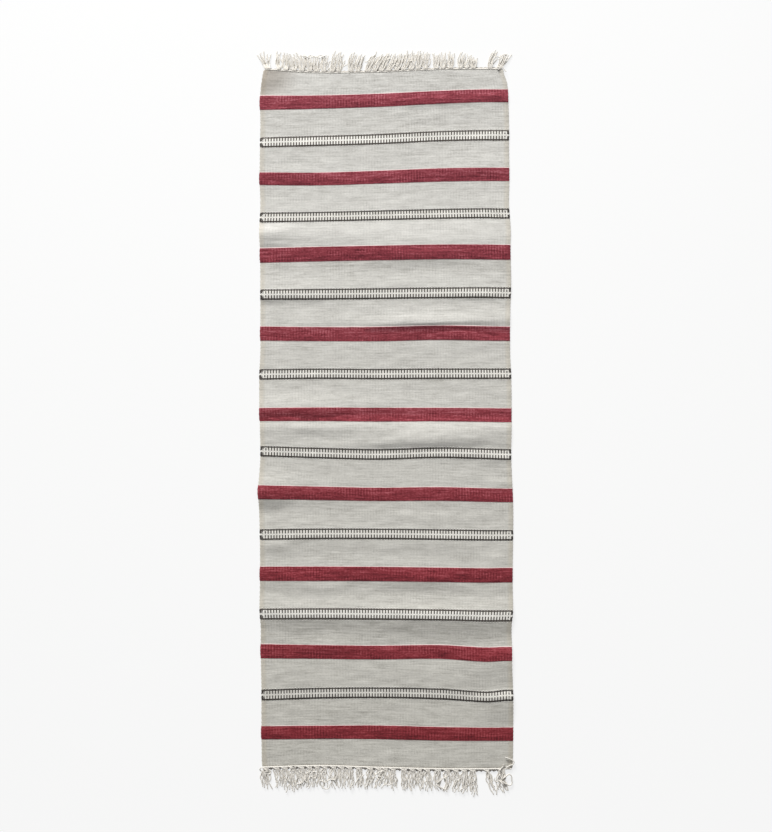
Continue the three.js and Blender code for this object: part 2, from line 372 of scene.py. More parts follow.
HEAD_LOOSE = (
    Loose(-232, 46, 94, 72, -8, 7, 0.9),
    Loose(-228, 40, 80, 60, 16, 6, 0.8),
    Loose(-120, 16, 50, 36, -30, 6, 0.9),
    Loose(-60, 30, 70, 50, -40, 7, 0.9),
    Loose(18, 22, 0, 44, 420, 7, 0.9),
    Loose(30, 14, 20, 46, -160, 6, 0.9),
    Loose(64, 26, 60, 40, -90, 6, 0.9),
    Loose(306, 34, 60, 36, 40, 6, 0.9),
    Loose(314, 28, 80, 30, 14, 5, 0.8),
    Loose(318, 8, 100, 26, 40, 3, 0.8),
    Loose(318, 4, 200, 24, 320, 7, 1.0),
    Loose(-336, 20, -40, 36, 30, 5, 0.8),
)

FOOT_LOOSE = (
    Loose(-342, 16, 10, 58, 400, 6, 0.9),
    Loose(-330, 12, -20, 52, -340, 7, 0.9),
    Loose(-279, 30, 0, 80, 180, 8, 1.0),
    Loose(-262, 10, 0, 38, 420, 7, 0.9),
    Loose(-246, 8, 40, 52, -10, 7, 1.0),
    Loose(-206, 8, -40, 54, 10, 7, 1.0),
    Loose(-209, 28, 0, 72, 350, 6, 0.9),
    Loose(-186, 42, 80, 50, 40, 8, 1.0),
    Loose(-150, 34, 20, 52, -120, 6, 0.9),
    Loose(-96, 14, 30, 56, -60, 7, 0.9),
    Loose(-60, 20, -30, 50, 80, 7, 0.9),
    Loose(-22, 22, 0, 46, 360, 8, 1.0),
    Loose(-30, 24, 0, 94, 345, 6, 0.9),
    Loose(20, 20, 30, 44, -130, 6, 0.9),
    Loose(60, 30, -20, 44, 90, 6, 0.9),
    Loose(100, 12, 20, 56, -40, 6, 0.9),
    Loose(142, 42, 0, 92, 345, 8, 1.0),
    Loose(176, 16, -30, 56, 60, 6, 0.9),
    Loose(214, 20, 30, 50, -70, 7, 0.9),
    Loose(320, 16, -14, 36, 60, 9, 1.3),
    Loose(324, 32, 0, 90, 335, 9, 1.1),
    Loose(318, 6, 130, 24, 60, 10, 1.0),
    Loose(334, -4, 60, 60, 240, 10, 1.0),
    Loose(330, 20, 20, 50, -200, 7, 0.9),
)


def linear(code: str) -> tuple[float, float, float, float]:
    """Turns an sRGB colour into the linear one that a shader takes.

    Args:
        code: The colour as six hex digits.

    Returns:
        Red, green, blue and an alpha of one.
    """
    parts = [int(code[at : at + 2], 16) / 255 for at in (0, 2, 4)]
    red, green, blue = (p / 12.92 if p <= 0.04045 else ((p + 0.055) / 1.055) ** 2.4 for p in parts)
    return red, green, blue, 1.0


def curve_weights(knots: np.ndarray, at: np.ndarray) -> np.ndarray:
    """Gives the weight of each knot's value in a smooth curve through the knots.

    Each stretch is a cubic whose slope at a knot is the slope between the knot's neighbours.

    Args:
        knots: The places of the knots, rising.
        at: The places where the curve is wanted, held inside the knots.

    Returns:
        One row for each place and one column for each knot.
    """
    last = len(knots) - 1
    eye = np.eye(last + 1)
    below = np.clip(np.arange(last + 1) - 1, 0, last)
    above = np.clip(np.arange(last + 1) + 1, 0, last)
    slopes = (eye[above] - eye[below]) / (knots[above] - knots[below])[:, None]
    held = np.clip(at, knots[0], knots[-1])
    low = np.clip(np.searchsorted(knots, held, side="right") - 1, 0, last - 1)
    span = knots[low + 1] - knots[low]
    part = (held - knots[low]) / span
    square, cube = part**2, part**3
    return (
        (2 * cube - 3 * square + 1)[:, None] * eye[low]
        + (3 * square - 2 * cube)[:, None] * eye[low + 1]
        + (span * (cube - 2 * square + part))[:, None] * slopes[low]
        + (span * (cube - square))[:, None] * slopes[low + 1]
    )


def half_cosine(part: np.ndarray) -> np.ndarray:
    """A hump that falls from one at nought to nought at one, as half a cosine wave."""
    return 0.5 * (1 + np.cos(np.pi * np.clip(np.abs(part), 0, 1)))


def soft_noise(
    x: np.ndarray, y: np.ndarray, wave_x: float, wave_y: float, seed: int, waves: int = 14
) -> np.ndarray:
    """An uneven height: a sum of plane waves of about the given lengths, each with its own phase.

    Args:
        x: Places across.
        y: Places along.
        wave_x: The usual wave length across, in metres.
        wave_y: The usual wave length along, in metres.
        seed: Which draw of waves it is.
        waves: How many waves are summed.

    Returns:
        Heights of about one at the most.
    """
    rng = np.random.default_rng(seed)
    turn_x = rng.uniform(-1.6, 1.6, waves) * 2 * np.pi / wave_x
    turn_y = rng.uniform(0.4, 1.5, waves) * 2 * np.pi / wave_y
    phase = rng.uniform(0, 2 * np.pi, waves)
    total = np.zeros(np.broadcast(x, y).shape)
    for kx, ky, start in zip(turn_x, turn_y, phase):
        total += np.sin(kx * x + ky * y + start)
    return total / math.sqrt(waves) * 0.7


@dataclass
class Shell:
    """One or more closed surfaces: points, faces in blocks of one size, and the yarn's data.

    The weave column pair is each point's place on the flat cloth, across and along, in metres.
    The bake column pair is each point's place on a flat chart of the whole piece, from 0 to 1.
    """

    points: np.ndarray
    faces: list[np.ndarray]
    weave: np.ndarray
    bake: np.ndarray
    tone: np.ndarray

    @staticmethod
    def joined(shells: list["Shell"]) -> "Shell":
        """Puts several shells into one.

        Args:
            shells: The shells to join.

        Returns:
            A shell with all their points and faces.
        """
        starts = np.cumsum([0] + [len(s.points) for s in shells])
        faces = [block + start for s, start in zip(shells, starts) for block in s.faces]
        return Shell(
            np.concatenate([s.points for s in shells]),
            faces,
            np.concatenate([s.weave for s in shells]),
            np.concatenate([s.bake for s in shells]),
            np.concatenate([s.tone for s in shells]),
        )

    def to_object(self, name: str, material: bpy.types.Material) -> bpy.types.Object:
        """Makes the shell a smooth-shaded object at the origin.

        Args:
            name: The piece's name.
            material: Its finish.

        Returns:
            The new object, linked to the scene.
        """
        mesh = bpy.data.meshes.new(name)
        corners = np.concatenate([block.ravel() for block in self.faces]).astype(np.int32)
        counts = np.concatenate([np.full(len(b), b.shape[1]) for b in self.faces]).astype(np.int32)
        starts = np.concatenate([[0], np.cumsum(counts)[:-1]]).astype(np.int32)
        mesh.vertices.add(len(self.points))
        mesh.vertices.foreach_set("co", self.points.astype(np.float32).ravel())
        mesh.loops.add(len(corners))
        mesh.loops.foreach_set("vertex_index", corners)
        mesh.polygons.add(len(counts))
        mesh.polygons.foreach_set("loop_start", starts)
        mesh.polygons.foreach_set("use_smooth", np.ones(len(counts), bool))
        mesh.update(calc_edges=True)
        for layer_name, chart in (("weave", self.weave), ("OFBake", self.bake)):
            layer = mesh.uv_layers.new(name=layer_name)
            layer.uv.foreach_set("vector", chart[corners].astype(np.float32).ravel())
        tone = mesh.attributes.new("tone", "FLOAT", "POINT")
        tone.data.foreach_set("value", self.tone.astype(np.float32))
        mesh.materials.append(material)
        made = bpy.data.objects.new(name, mesh)
        bpy.context.scene.collection.objects.link(made)
        LOG.info("%s: %d triangles", name, int((counts - 2).sum()))
        return made


def ring_faces(rows: int, around: int, closed_rows: bool = False) -> np.ndarray:
    """The four-sided faces of a grid that closes on itself along its second direction.

    Args:
        rows: How many rings of points there are.
        around: How many points each ring has.
        closed_rows: Whether the last ring joins the first one too.

    Returns:
        Faces whose first edge runs round the ring and whose second runs to the next ring.
    """
    ring = np.arange(rows if closed_rows else rows - 1)[:, None]
    spoke = np.arange(around)[None, :]
    after_ring = (ring + 1) % rows
    after_spoke = (spoke + 1) % around
    grid = np.stack(
        [
            ring * around + spoke,
            ring * around + after_spoke,
            after_ring * around + after_spoke,
            after_ring * around + spoke,
        ],
        axis=-1,
    )
    return grid.reshape(-1, 4)


@dataclass(frozen=True)
class Lay:
    """How the cloth lies on the floor: where each point of the flat weave has gone."""

    thickness: float = 3.6 * MM
    clearance: float = 0.4 * MM
    scallop: float = 0.4 * MM
    scallop_pitch: float = 11 * MM
    stripe_swell: float = 1.3 * MM
    swell_reach: float = 5 * MM
    pucker: float = 0.35 * MM

    @property
    def half(self) -> float:
        """The radius of the rounded selvedge."""
        return self.thickness / 2

    def woven_lines(self) -> np.ndarray:
        """Where each weft line would lie if the cloth were laid square, in metres."""
        return np.array([np.mean(line[2:]) for line in WEFT_LINES]) * MM

    def along(self, across: np.ndarray, woven: np.ndarray) -> np.ndarray:
        """Where a weft thread lies along the rug: its square place plus its drift.

        The drift is a smooth curve through the drifts of the weft lines, along and across.

        Args:
            across: Place across the cloth, from 0 to 1.
            woven: Place along the square cloth.

        Returns:
            The place along the rug.
        """
        lines = self.woven_lines()
        drift = np.array([line[2:] for line in WEFT_LINES]) * MM - lines[:, None]
        low, high = SELVEDGES[0].left, SELVEDGES[0].right
        over = curve_weights(np.array(WEFT_PLACES, float), low + (high - low) * across)
        up = curve_weights(lines, woven)
        return woven + np.einsum("ni,nj,ij->n", up, over, drift)

    def edges(self, y: np.ndarray) -> tuple[np.ndarray, np.ndarray]:
        """The two selvedges, as the table's smooth curves.

        Args:
            y: Places along the rug.

        Returns:
            The left and the right edge at each place.
        """
        table = np.array(SELVEDGES, float) * MM
        weights = curve_weights(table[:, 0], y)
        return weights @ table[:, 1], weights @ table[:, 2]

    def selvedge_swell(self, across: np.ndarray, y: np.ndarray) -> np.ndarray:
        """How far the outermost warps are pushed: small scallops, and a swell at each red stripe.

        It fades from the selvedge inwards as an exponential.

        Args:
            across: Places across, from 0 to 1.
            y: Places along the rug.

        Returns:
            The push in +X.
        """
        wave = 2 * np.pi * y / self.scallop_pitch
        left = np.sin(wave + 3 * soft_noise(y * 0, y, 1, 0.09, 21)) * self.scallop
        right = np.sin(wave * 1.07 + 3 * soft_noise(y * 0, y, 1, 0.08, 22)) * self.scallop
        for line in WEFT_LINES:
            if line.kind is Stripe.RED:
                left += self.stripe_swell * np.exp(-(((y - line.left * MM) / (17 * MM)) ** 4))
        fade_left = np.exp(-across * FLAT_WIDTH / self.swell_reach)
        fade_right = np.exp(-(1 - across) * FLAT_WIDTH / self.swell_reach)
        return right * fade_right - left * fade_left

    def lift(self, x: np.ndarray, y: np.ndarray, across: np.ndarray) -> np.ndarray:
        """How high the cloth is lifted: its ripples, its short creases and its puckers.

        A ripple or crease falls from its crest as half a cosine wave on either side.

        Args:
            x: Places across, in metres.
            y: Places along, in metres.
            across: Places across, from 0 to 1.

        Returns:
            The height of the underside above where it would lie flat, never below nought.
        """
        total = np.zeros(len(x))
        side = np.abs(across - 0.5) * 2
        for ripple in RIPPLES:
            crest = ripple.crest_left + (ripple.crest_right - ripple.crest_left) * across
            away = y - crest * MM
            reach = np.where(away > 0, ripple.to_head, ripple.to_foot) * MM
            outer = np.where(across < 0.5, ripple.left, ripple.right)
            height = ripple.middle + (outer - ripple.middle) * side
            total += height * MM * half_cosine(away / reach)
        for crease in CREASES:
            sideways = x - crease.across * MM
            away = y - crease.along * MM - crease.slant * sideways
            reach = np.where(away > 0, crease.to_head, crease.to_foot) * MM
            fade = half_cosine(sideways / (crease.reach * MM))
            total += crease.height * MM * fade * half_cosine(away / reach)
        total += self.pucker * (1 + soft_noise(x, y, 0.16, 0.05, 5))
        return np.maximum(total, 0)

    def points(
        self, across: np.ndarray, woven: np.ndarray, out: np.ndarray, height: np.ndarray
    ) -> np.ndarray:
        """Places points of the cloth in the room.

        Args:
            across: From 0 to 1 between the two lines where the selvedges start to round.
            woven: Place along the square cloth.
            out: How far outside those lines the point is, negative on the left.
            height: How far above the cloth's underside the point is.

        Returns:
            The points, one row each, in the order of the inputs, which share one shape.
        """
        across, woven, out, height = map(np.ravel, (across, woven, out, height))
        y = self.along(across, woven)
        left, right = self.edges(y)
        x = left + self.half + (right - left - self.thickness) * across + out
        x = x + self.selvedge_swell(across, y)
        z = self.clearance + self.lift(x, y, across) + height
        return np.stack([x, y, z], axis=1)


@dataclass(frozen=True)
class Section:
    """The section of the cloth, or of a sleeve on it: a flat loop with two round sides."""

    top_columns: int = 64
    bottom_columns: int = 10
    side_steps: int = 5

    def loop(self, lay: Lay, grow: np.ndarray) -> tuple[np.ndarray, np.ndarray, np.ndarray]:
        """The loop once for each row: along the top, down the right, back below, up the left.

        Args:
            lay: The cloth that it belongs to.
            grow: For each row, how far the loop stands outside the cloth's own surface.

        Returns:
            Place across from 0 to 1, distance out and height, each with one row for each ring.
        """
        turn = np.pi * (0.5 - np.arange(1, self.side_steps + 1) / (self.side_steps + 1))
        ones = np.ones(self.side_steps)
        across = np.concatenate(
            [
                np.linspace(0, 1, self.top_columns + 1),
                ones,
                np.linspace(1, 0, self.bottom_columns + 1),
                ones * 0,
            ]
        )
        top, bottom = np.zeros(self.top_columns + 1), np.zeros(self.bottom_columns + 1)
        side = np.concatenate([top, np.cos(turn), bottom, -np.cos(turn)])
        rise = np.concatenate([top + 1, np.sin(turn), bottom - 1, -np.sin(turn)])
        radius = (lay.half + grow)[:, None]
        out = radius * side
        height = lay.half + radius * rise
        return np.broadcast_to(across, out.shape), out, height


@dataclass(frozen=True)
class GroundCloth:
    """The grey cloth itself, one sheet from end to end, with its weft as faint ridges."""

    lay: Lay
    section: Section = Section()
    rows: int = 1090
    ridge: float = 0.11 * MM
    ridge_pitch: float = 3.6 * MM
    flat_width: float = FLAT_WIDTH
    flat_length: float = 1.954

    def shell(self) -> Shell:
        """Builds the sheet: the section's loop carried along the rug, and closed at both ends.

        The ridges are a sine wave along the rug whose height and phase drift slowly.

        Returns:
            The cloth as one closed shell.
        """
        lines = self.lay.woven_lines()
        woven = np.linspace(lines[0], lines[-1], self.rows)
        ends = np.minimum(np.arange(self.rows), np.arange(self.rows)[::-1])
        grow = -self.lay.half * 0.7 * np.clip(1 - ends / 2, 0, 1) ** 2
        across, out, height = self.section.loop(self.lay, grow)
        along = np.broadcast_to(woven[:, None], out.shape)
        flat_x = across * self.flat_width
        phase = 2.4 * soft_noise(flat_x, along, 0.4, 0.05, 8)
        wave = np.sin(2 * np.pi * along / self.ridge_pitch + phase)
        swell = 0.7 + 0.5 * soft_noise(flat_x, along, 0.12, 0.03, 9)
        height = height + self.ridge * wave * swell * (height > self.lay.half)
        around = out.shape[1]
        points = self.lay.points(across, along, out, height)
        faces = ring_faces(self.rows, around)
        foot_cap = np.arange(around)[None, ::-1]
        head_cap = np.arange(around)[None, :] + (self.rows - 1) * around
        weave = np.stack([(flat_x + out).ravel(), along.ravel()], axis=1)
        chart = np.stack([across.ravel(), (along.ravel() - woven[0]) / np.ptp(woven)], axis=1)
        return Shell(points, [faces, foot_cap, head_cap], weave, chart, np.zeros(len(points)))


@dataclass(frozen=True)
class Sleeve:
    """A stripe of another yarn: it wraps the whole cloth and stands a little proud of it."""

    lay: Lay
    middle: float
    height: float
    section: Section = Section(top_columns=88, bottom_columns=22)
    rows: int = 13
    proud: float = 0.3 * MM
    tuck: float = 0.8 * MM
    flat_width: float = FLAT_WIDTH

    def shell(self) -> Shell:
        """Builds the sleeve: an outer wall with sunken rims and an inner wall inside the cloth.

        Returns:
            The sleeve as one closed ring.
        """
        outer = np.linspace(-0.5, 0.5, self.rows) * self.height
        rim = np.minimum(np.arange(self.rows), np.arange(self.rows)[::-1])
        outer_grow = np.where(rim == 0, -0.5 * self.proud, self.proud)
        woven = np.concatenate([outer, [outer[-1] * 0.98, outer[0] * 0.98]])
        grow = np.concatenate([outer_grow, [-self.tuck, -self.tuck]])
        across, out, height = self.section.loop(self.lay, grow)
        along = np.broadcast_to(woven[:, None], out.shape)
        points = self.lay.points(across, self.middle + along, out, height)
        flat_x = across * self.flat_width + out
        weave = np.stack([flat_x.ravel(), self.middle + along.ravel()], axis=1)
        turn = np.linspace(0, 1, out.shape[1])
        chart = np.stack(
            [np.broadcast_to(turn, out.shape).ravel(), 0.5 + along.ravel() / self.height / 1.02],
            axis=1,
        )
        faces = ring_faces(len(woven), out.shape[1], closed_rows=True)
        tone = np.clip(0.5 + along.ravel() / self.height, 0, 1)
        return Shell(points, [faces], weave, chart, tone)


@dataclass(frozen=True)
class Floats:
    """Short floats of weft, each a small pillow over one warp, laid out by a weaving draft.

    The cloth is weft-faced: in each pick the weft floats over every second warp, and in the
    next pick over the warps between, so floats stand in columns like bricks on end.
    """

    lay: Lay
    warps: int = WARPS
    pick: float = 1.06 * MM
    length: float = 4.4 * MM
    width: float = 2.3 * MM
    bulge: float = 0.75 * MM
    sink: float = 0.5 * MM
    proud: float = 0.3 * MM
    flat_width: float = FLAT_WIDTH

    def shell(
        self, columns: np.ndarray, woven: np.ndarray, size: np.ndarray, light: float, seed: int
    ) -> Shell:
        """Builds one pillow for each float: a long six-sided foot and a ridge of two points.

        Args:
            columns: Which warp each float lies over.
            woven: Where its middle lies along the square cloth.
            size: How large it is beside the usual one.
            light: How light the yarn is, from 0 to 1.
            seed: Which draw of unevenness it is.

        Returns:
            All the floats as one shell.
        """
        rng = np.random.default_rng(seed)
        count = len(columns)
        foot_x = np.array([-0.5, -0.22, 0.22, 0.5, 0.22, -0.22, -0.17, 0.17])
        foot_y = np.array([0, -0.5, -0.5, 0, 0.5, 0.5, 0, 0])
        top = np.array([0, 0, 0, 0, 0, 0, 1, 1])
        warp_pitch = 1 / self.warps
        length = self.length * size * rng.normal(1, 0.05, count)
        width = self.width * rng.normal(1, 0.06, count)
        bulge = self.bulge * rng.normal(1, 0.1, count) * size
        centre = (columns + 0.5) * warp_pitch + rng.normal(0, 0.03, count) * warp_pitch
        along = woven + rng.normal(0, 0.08, count) * self.pick
        offset = foot_x[None, :] * length[:, None]
        across = centre[:, None] + offset / self.flat_width
        up = along[:, None] + foot_y[None, :] * width[:, None]
        out = np.minimum(across, 0) * self.flat_width + np.maximum(across - 1, 0) * self.flat_width
        fall = np.minimum((out / self.lay.half) ** 2, 1) * self.lay.half
        surface = self.lay.thickness + self.proud - fall
        height = surface - self.sink * (1 - top) + bulge[:, None] * top
        points = self.lay.points(np.clip(across, 0, 1), up, out, height)
        start = np.arange(count)[:, None, None] * len(foot_x)
        sides = np.array([[0, 1, 6], [1, 2, 7], [1, 7, 6], [2, 3, 7], [3, 4, 7], [4, 5, 6], [4, 6, 7]])
        last_side = np.array([[5, 0, 6]])
        below = np.array([[0, 5, 4, 3, 2, 1]])
        tris = (start + np.concatenate([sides, last_side])).reshape(-1, 3)
        foot = (start + below).reshape(-1, 6)
        weave = np.stack([(across * self.flat_width).ravel(), up.ravel()], axis=1)
        low, span = weave.min(0), np.ptp(weave, axis=0)
        tone = np.repeat(rng.normal(light, 0.16, count), len(foot_x))
        return Shell(points, [tris, foot], weave, (weave - low) / span, np.clip(tone, 0, 1))


# The draft of a figured band, one letter a pick from the foot side to the head side: a light
# ground pick, a black line, a row of teeth, a white line, teeth, a black line, ground again.
# A dot is a pick that the ground cloth makes.
DRAFT = "..G.BBBBB" + "WBWBWBWB" + "WWWW" + "WBWBWBWB" + "BBBB" + ".G"


@dataclass(frozen=True)
class FiguredBand:
    """A band of teeth: its sleeve, and the floats of each yarn that its draft calls for."""

    lay: Lay
    number: int
    middle: float
    height: float
    middle_pick: int = 18
    height_picks: int = 30
    sleeve_picks: int = 28
    low_teeth: tuple[int, int] = (9, 16)
    high_teeth: tuple[int, int] = (21, 28)
    hook_slopes: tuple[float, float] = (0.28, 0.14)
    spot_width: float = 1.5

    @property
    def pitch(self) -> float:
        """How far apart two picks lie."""
        return self.height / self.height_picks

    def floats(self, yarn: str) -> Shell:
        """Reads the draft for one yarn, and builds its floats.

        At each selvedge the teeth give way to a black hook that widens towards the black line,
        with a white spot inside it. The right one is half as wide as the left.

        Args:
            yarn: The yarn's letter in the draft.

        Returns:
            The floats of that yarn.
        """
        kit = Floats(self.lay, pick=self.pitch)
        pick, column = np.meshgrid(np.arange(len(DRAFT)), np.arange(kit.warps), indexing="ij")
        letters = np.array(list(DRAFT))[pick]
        edge = np.minimum(column, kit.warps - 1 - column)
        low = (pick >= self.low_teeth[0]) & (pick <= self.low_teeth[1])
        high = (pick >= self.high_teeth[0]) & (pick <= self.high_teeth[1])
        from_line = np.where(low, self.low_teeth[1] - pick, pick - self.high_teeth[0])
        hook = np.where(column < kit.warps / 2, *self.hook_slopes) * from_line
        letters = np.where((low | high) & (edge < hook), "B", letters)
        spot = (edge >= hook) & (edge < hook + self.spot_width)
        letters = np.where((low | high) & spot, "W", letters)
        shown = ((pick + column) % 2 == 1) & (letters == yarn)
        woven = self.middle + (pick - self.middle_pick) * self.pitch
        wander = soft_noise(column * kit.flat_width / kit.warps, pick * 0.0, 0.09, 1, 40 + self.number)
        # How long a yarn's teeth are beside its other floats, and how much that wanders.
        usual, change = {"B": (0.76, 0.42), "W": (1.12, -0.12), "G": (0.8, 0.1)}[yarn]
        in_teeth = (low | high) & (edge >= hook)
        size = np.where(in_teeth, usual * (1 + change * wander), 1.0)
        light = 0.5 + (BAND_TONES[self.number - 1] if yarn != "G" else 0.0)
        return kit.shell(column[shown], woven[shown], size[shown], light, 60 + self.number)

    def sleeve(self) -> Shell:
        """The base that carries the floats, painted with the same figure."""
        return Sleeve(self.lay, self.middle, self.sleeve_picks * self.pitch).shell()


def twisted_yarns(
    paths: np.ndarray, radius: np.ndarray, pitch: float, tones: np.ndarray, sides: int = 8
) -> Shell:
    """Builds two-ply yarns: an oval section that turns as it is carried along each path.

    The radius at an angle is the yarn's radius times one plus a fifth of the cosine of twice
    the angle from the turning oval. The ends taper to a point.

    Args:
        paths: The middle lines, with the shape yarns, steps, 3.
        radius: The radius of each yarn.
        pitch: How far along a yarn the oval takes for half a turn.
        tones: How light each yarn is, from 0 to 1.
        sides: How many points go round a yarn.

    Returns:
        All the yarns as one shell.
    """
    yarns, steps, _ = paths.shape
    ahead = np.gradient(paths, axis=1)
    ahead /= np.linalg.norm(ahead, axis=2, keepdims=True)
    side = np.cross(ahead, [0.0, 0.0, 1.0])
    side /= np.maximum(np.linalg.norm(side, axis=2, keepdims=True), 1e-9)
    over = np.cross(side, ahead)
    walked = np.linalg.norm(np.diff(paths, axis=1), axis=2)
    walked = np.concatenate([np.zeros((yarns, 1)), np.cumsum(walked, axis=1)], axis=1)
    angle = 2 * np.pi * np.arange(sides) / sides
    start = np.random.default_rng(yarns).uniform(0, np.pi, yarns)
    lobe = np.cos(2 * (angle - (np.pi * walked / pitch + start[:, None])[:, :, None]))
    taper = np.ones(steps)
    taper[[0, -1]] = 0.6
    reach = radius[:, None, None] * taper[None, :, None] * (1 + 0.2 * lobe)
    rings = (
        paths[:, :, None, :]
        + (reach * np.cos(angle))[..., None] * side[:, :, None, :]
        + (reach * np.sin(angle))[..., None] * over[:, :, None, :]
    )
    tips = paths[:, [0, -1]] + ahead[:, [0, -1]] * radius[:, None, None] * [[[-0.5], [0.5]]]
    points = np.concatenate([rings.reshape(yarns, -1, 3), tips], axis=1)
    per_yarn = points.shape[1]
    walls = ring_faces(steps, sides)[:, ::-1]
    spoke = np.arange(sides)
    after = (spoke + 1) % sides
    first, last = np.full(sides, steps * sides), np.full(sides, steps * sides + 1)
    far = (steps - 1) * sides
    caps = np.concatenate(
        [np.stack([first, spoke, after], 1), np.stack([last, far + after, far + spoke], 1)]
    )
    offset = np.arange(yarns)[:, None, None] * per_yarn

    def with_tips(rings: np.ndarray, tips: Any) -> np.ndarray:
        """One row for each yarn: a value for each point of its rings, then for its two tips."""
        on_rings = np.broadcast_to(rings, (yarns, steps, sides)).reshape(yarns, -1)
        return np.concatenate([on_rings, np.broadcast_to(tips, (yarns, 2))], axis=1)

    # On the bake chart each yarn is a strip, and its section is folded flat inside the strip.
    folded = 1 - np.abs(2 * np.arange(sides) / sides - 1)
    chart_x = with_tips(0.1 + 0.8 * folded, 0.5)
    chart_y = with_tips(np.linspace(0.01, 0.99, steps)[:, None], [0.0, 1.0])
    order = np.arange(yarns)[:, None]
    chart = np.stack([(order + chart_x) / yarns, chart_y], axis=-1)
    weave = np.stack([chart_x + order * 1.7, with_tips(walked[:, :, None], walked[:, [0, -1]])], axis=-1)
    # Each yarn's own tone, plus painted shade in the grooves between the plies and painted light on their
    # crowns.
    shade = with_tips(tones[:, None, None] + 0.09 * lobe, tones[:, None])
    return Shell(
        points.reshape(-1, 3),
        [(walls[None] + offset).reshape(-1, 4), (caps[None] + offset).reshape(-1, 3)],
        weave.reshape(-1, 2),
        chart.reshape(-1, 2),
        np.clip(shade.ravel(), 0, 1),
    )


@dataclass(frozen=True)
class Fringe:
    """One end of the rug: the cord twined along it, and the locks of warp yarn it holds."""

    lay: Lay
    end: End
    locks: tuple[Lock, ...]
    loose: tuple[Loose, ...]
    cord_width: float
    wrap_slant: float
    wave: float
    shade_width: float
    shade_height: float
    lightness: float
    strand_pitch: float = 4.3 * MM
    strand_radius: float = 1.6 * MM
    steps: int = 36
    under_steps: int = 26
    loose_steps: int = 44
    wrap_steps: int = 16
    cord_steps: int = 620
    shade_columns: int = 160
    yarn_pitch: float = 3.4 * MM
    crinkle: float = 0.35 * MM
    overlong: float = 1.05
    parting: float = 25 * MM

    def edge(self, x: np.ndarray) -> np.ndarray:
        """Where the woven end lies along the rug.

        Args:
            x: Places across, in metres.

        Returns:
            The end's place along at each.
        """
        line = WEFT_LINES[-1] if self.end is End.HEAD else WEFT_LINES[0]
        places = np.array(WEFT_PLACES, float) * MM
        shape = np.shape(x)
        return (curve_weights(places, np.ravel(x)) @ (np.array(line[2:]) * MM)).reshape(shape)

    def lift(self, x: np.ndarray) -> np.ndarray:
        """How high the woven end is lifted.

        Args:
            x: Places across, in metres.

        Returns:
            The height at each, as if the end ran from 0.35 m left to 0.35 m right.
        """
        flat = np.ravel(x)
        across = np.clip((flat + 0.35) / 0.7, 0, 1)
        return self.lay.lift(flat, np.ravel(self.edge(x)), across).reshape(np.shape(x))

    def above_floor_and_cloth(self, x: np.ndarray, y: np.ndarray, z: np.ndarray) -> np.ndarray:
        """Raises yarn that lies over the cloth or its cord to the top of the cloth.

        Args:
            x: Places across.
            y: Places along.
            z: The yarn's height over a bare floor.

        Returns:
            The height, eased up over 6 mm before the woven end.
        """
        past = (self.end.value * (y - self.edge(x)) - self.cord_width) / (6 * MM)
        over = half_cosine(np.clip(past, 0, 1))
        top = self.lay.thickness + self.lay.clearance + self.lift(x) + 2 * self.strand_radius
        return z + np.maximum(top - z, 0) * over

    def waves(self, rng: np.random.Generator, way: np.ndarray, length: np.ndarray) -> np.ndarray:
        """Sways and crinkles for yarns: a sum of sine waves, long and short, that grow at the root.

        Args:
            rng: The draw.
            way: How far along it each step is, from 0 to 1, one row a yarn.
            length: Each yarn's length.

        Returns:
            How far each step is swung aside.
        """
        total = np.zeros_like(way)
        for usual, swing in ((32 * MM, self.wave), (17 * MM, self.wave * 0.4), (7 * MM, self.crinkle)):
            wave = usual * rng.uniform(0.75, 1.35, (len(way), 1))
            phase = rng.uniform(0, 2 * np.pi, (len(way), 1))
            size = swing * rng.uniform(0.3, 1.2, (len(way), 1))
            total += size * np.sin(2 * np.pi * length[:, None] * way / wave + phase)
        return total * np.minimum(way * 4, 1)

    def strands(self) -> Shell:
        """Builds the strands of every lock.

        A strand runs out from the cord, leans more and more, bows as half a sine wave and
        spreads with the square of the way.

        Returns:
            All the strands as one shell.
        """
        rng = np.random.default_rng(3 + self.end.value)
        rows = [(lock, order) for lock in self.locks for order in range(lock.strands)]
        table = np.array([lock for lock, _ in rows], float)
        order = np.array([order for _, order in rows], float)
        across, count, lean, bow, spread, length = table.T
        place = order - (count - 1) / 2
        cut = self.overlong - 0.07 * ((order * 2 + count) % 3) + rng.normal(0, 0.03, len(rows))
        t = np.linspace(0, 1, self.steps)[None, :]
        way = cut[:, None] * t
        gather = 0.7 + 0.3 * np.minimum(way * 3, 1)
        x = (
            across[:, None]
            + (place * self.strand_pitch / MM)[:, None] * gather
            + lean[:, None] * (0.6 * way + 0.4 * way**2)
            + (spread * place * 2 / np.maximum(count - 1, 1))[:, None] * way**2
            + bow[:, None] * np.sin(np.pi * way)
        ) * MM
        x = x + self.waves(rng, way, length * MM)
        root = self.edge(across * MM) + self.end.value * (self.cord_width * 0.6)
        y = root[:, None] + self.end.value * length[:, None] * way * MM
        over = (order % 2)[:, None]
        z = self.strand_radius * (2.4 + 1.3 * over * np.sin(np.pi * np.minimum(t, 0.8)) ** 2)
        z = z + (1.2 * MM + self.lift(across * MM)[:, None]) * half_cosine(way * 3)
        z = z - self.strand_radius * 1.1 * np.clip(t - 0.6, 0, 1) / 0.4 * (1 - over)
        tones = np.clip(rng.normal(self.lightness, 0.07, len(rows)), 0, 1)
        radius = self.strand_radius * rng.normal(1, 0.07, len(rows))
        return twisted_yarns(np.stack([x, y, z], axis=-1), radius, self.yarn_pitch, tones)

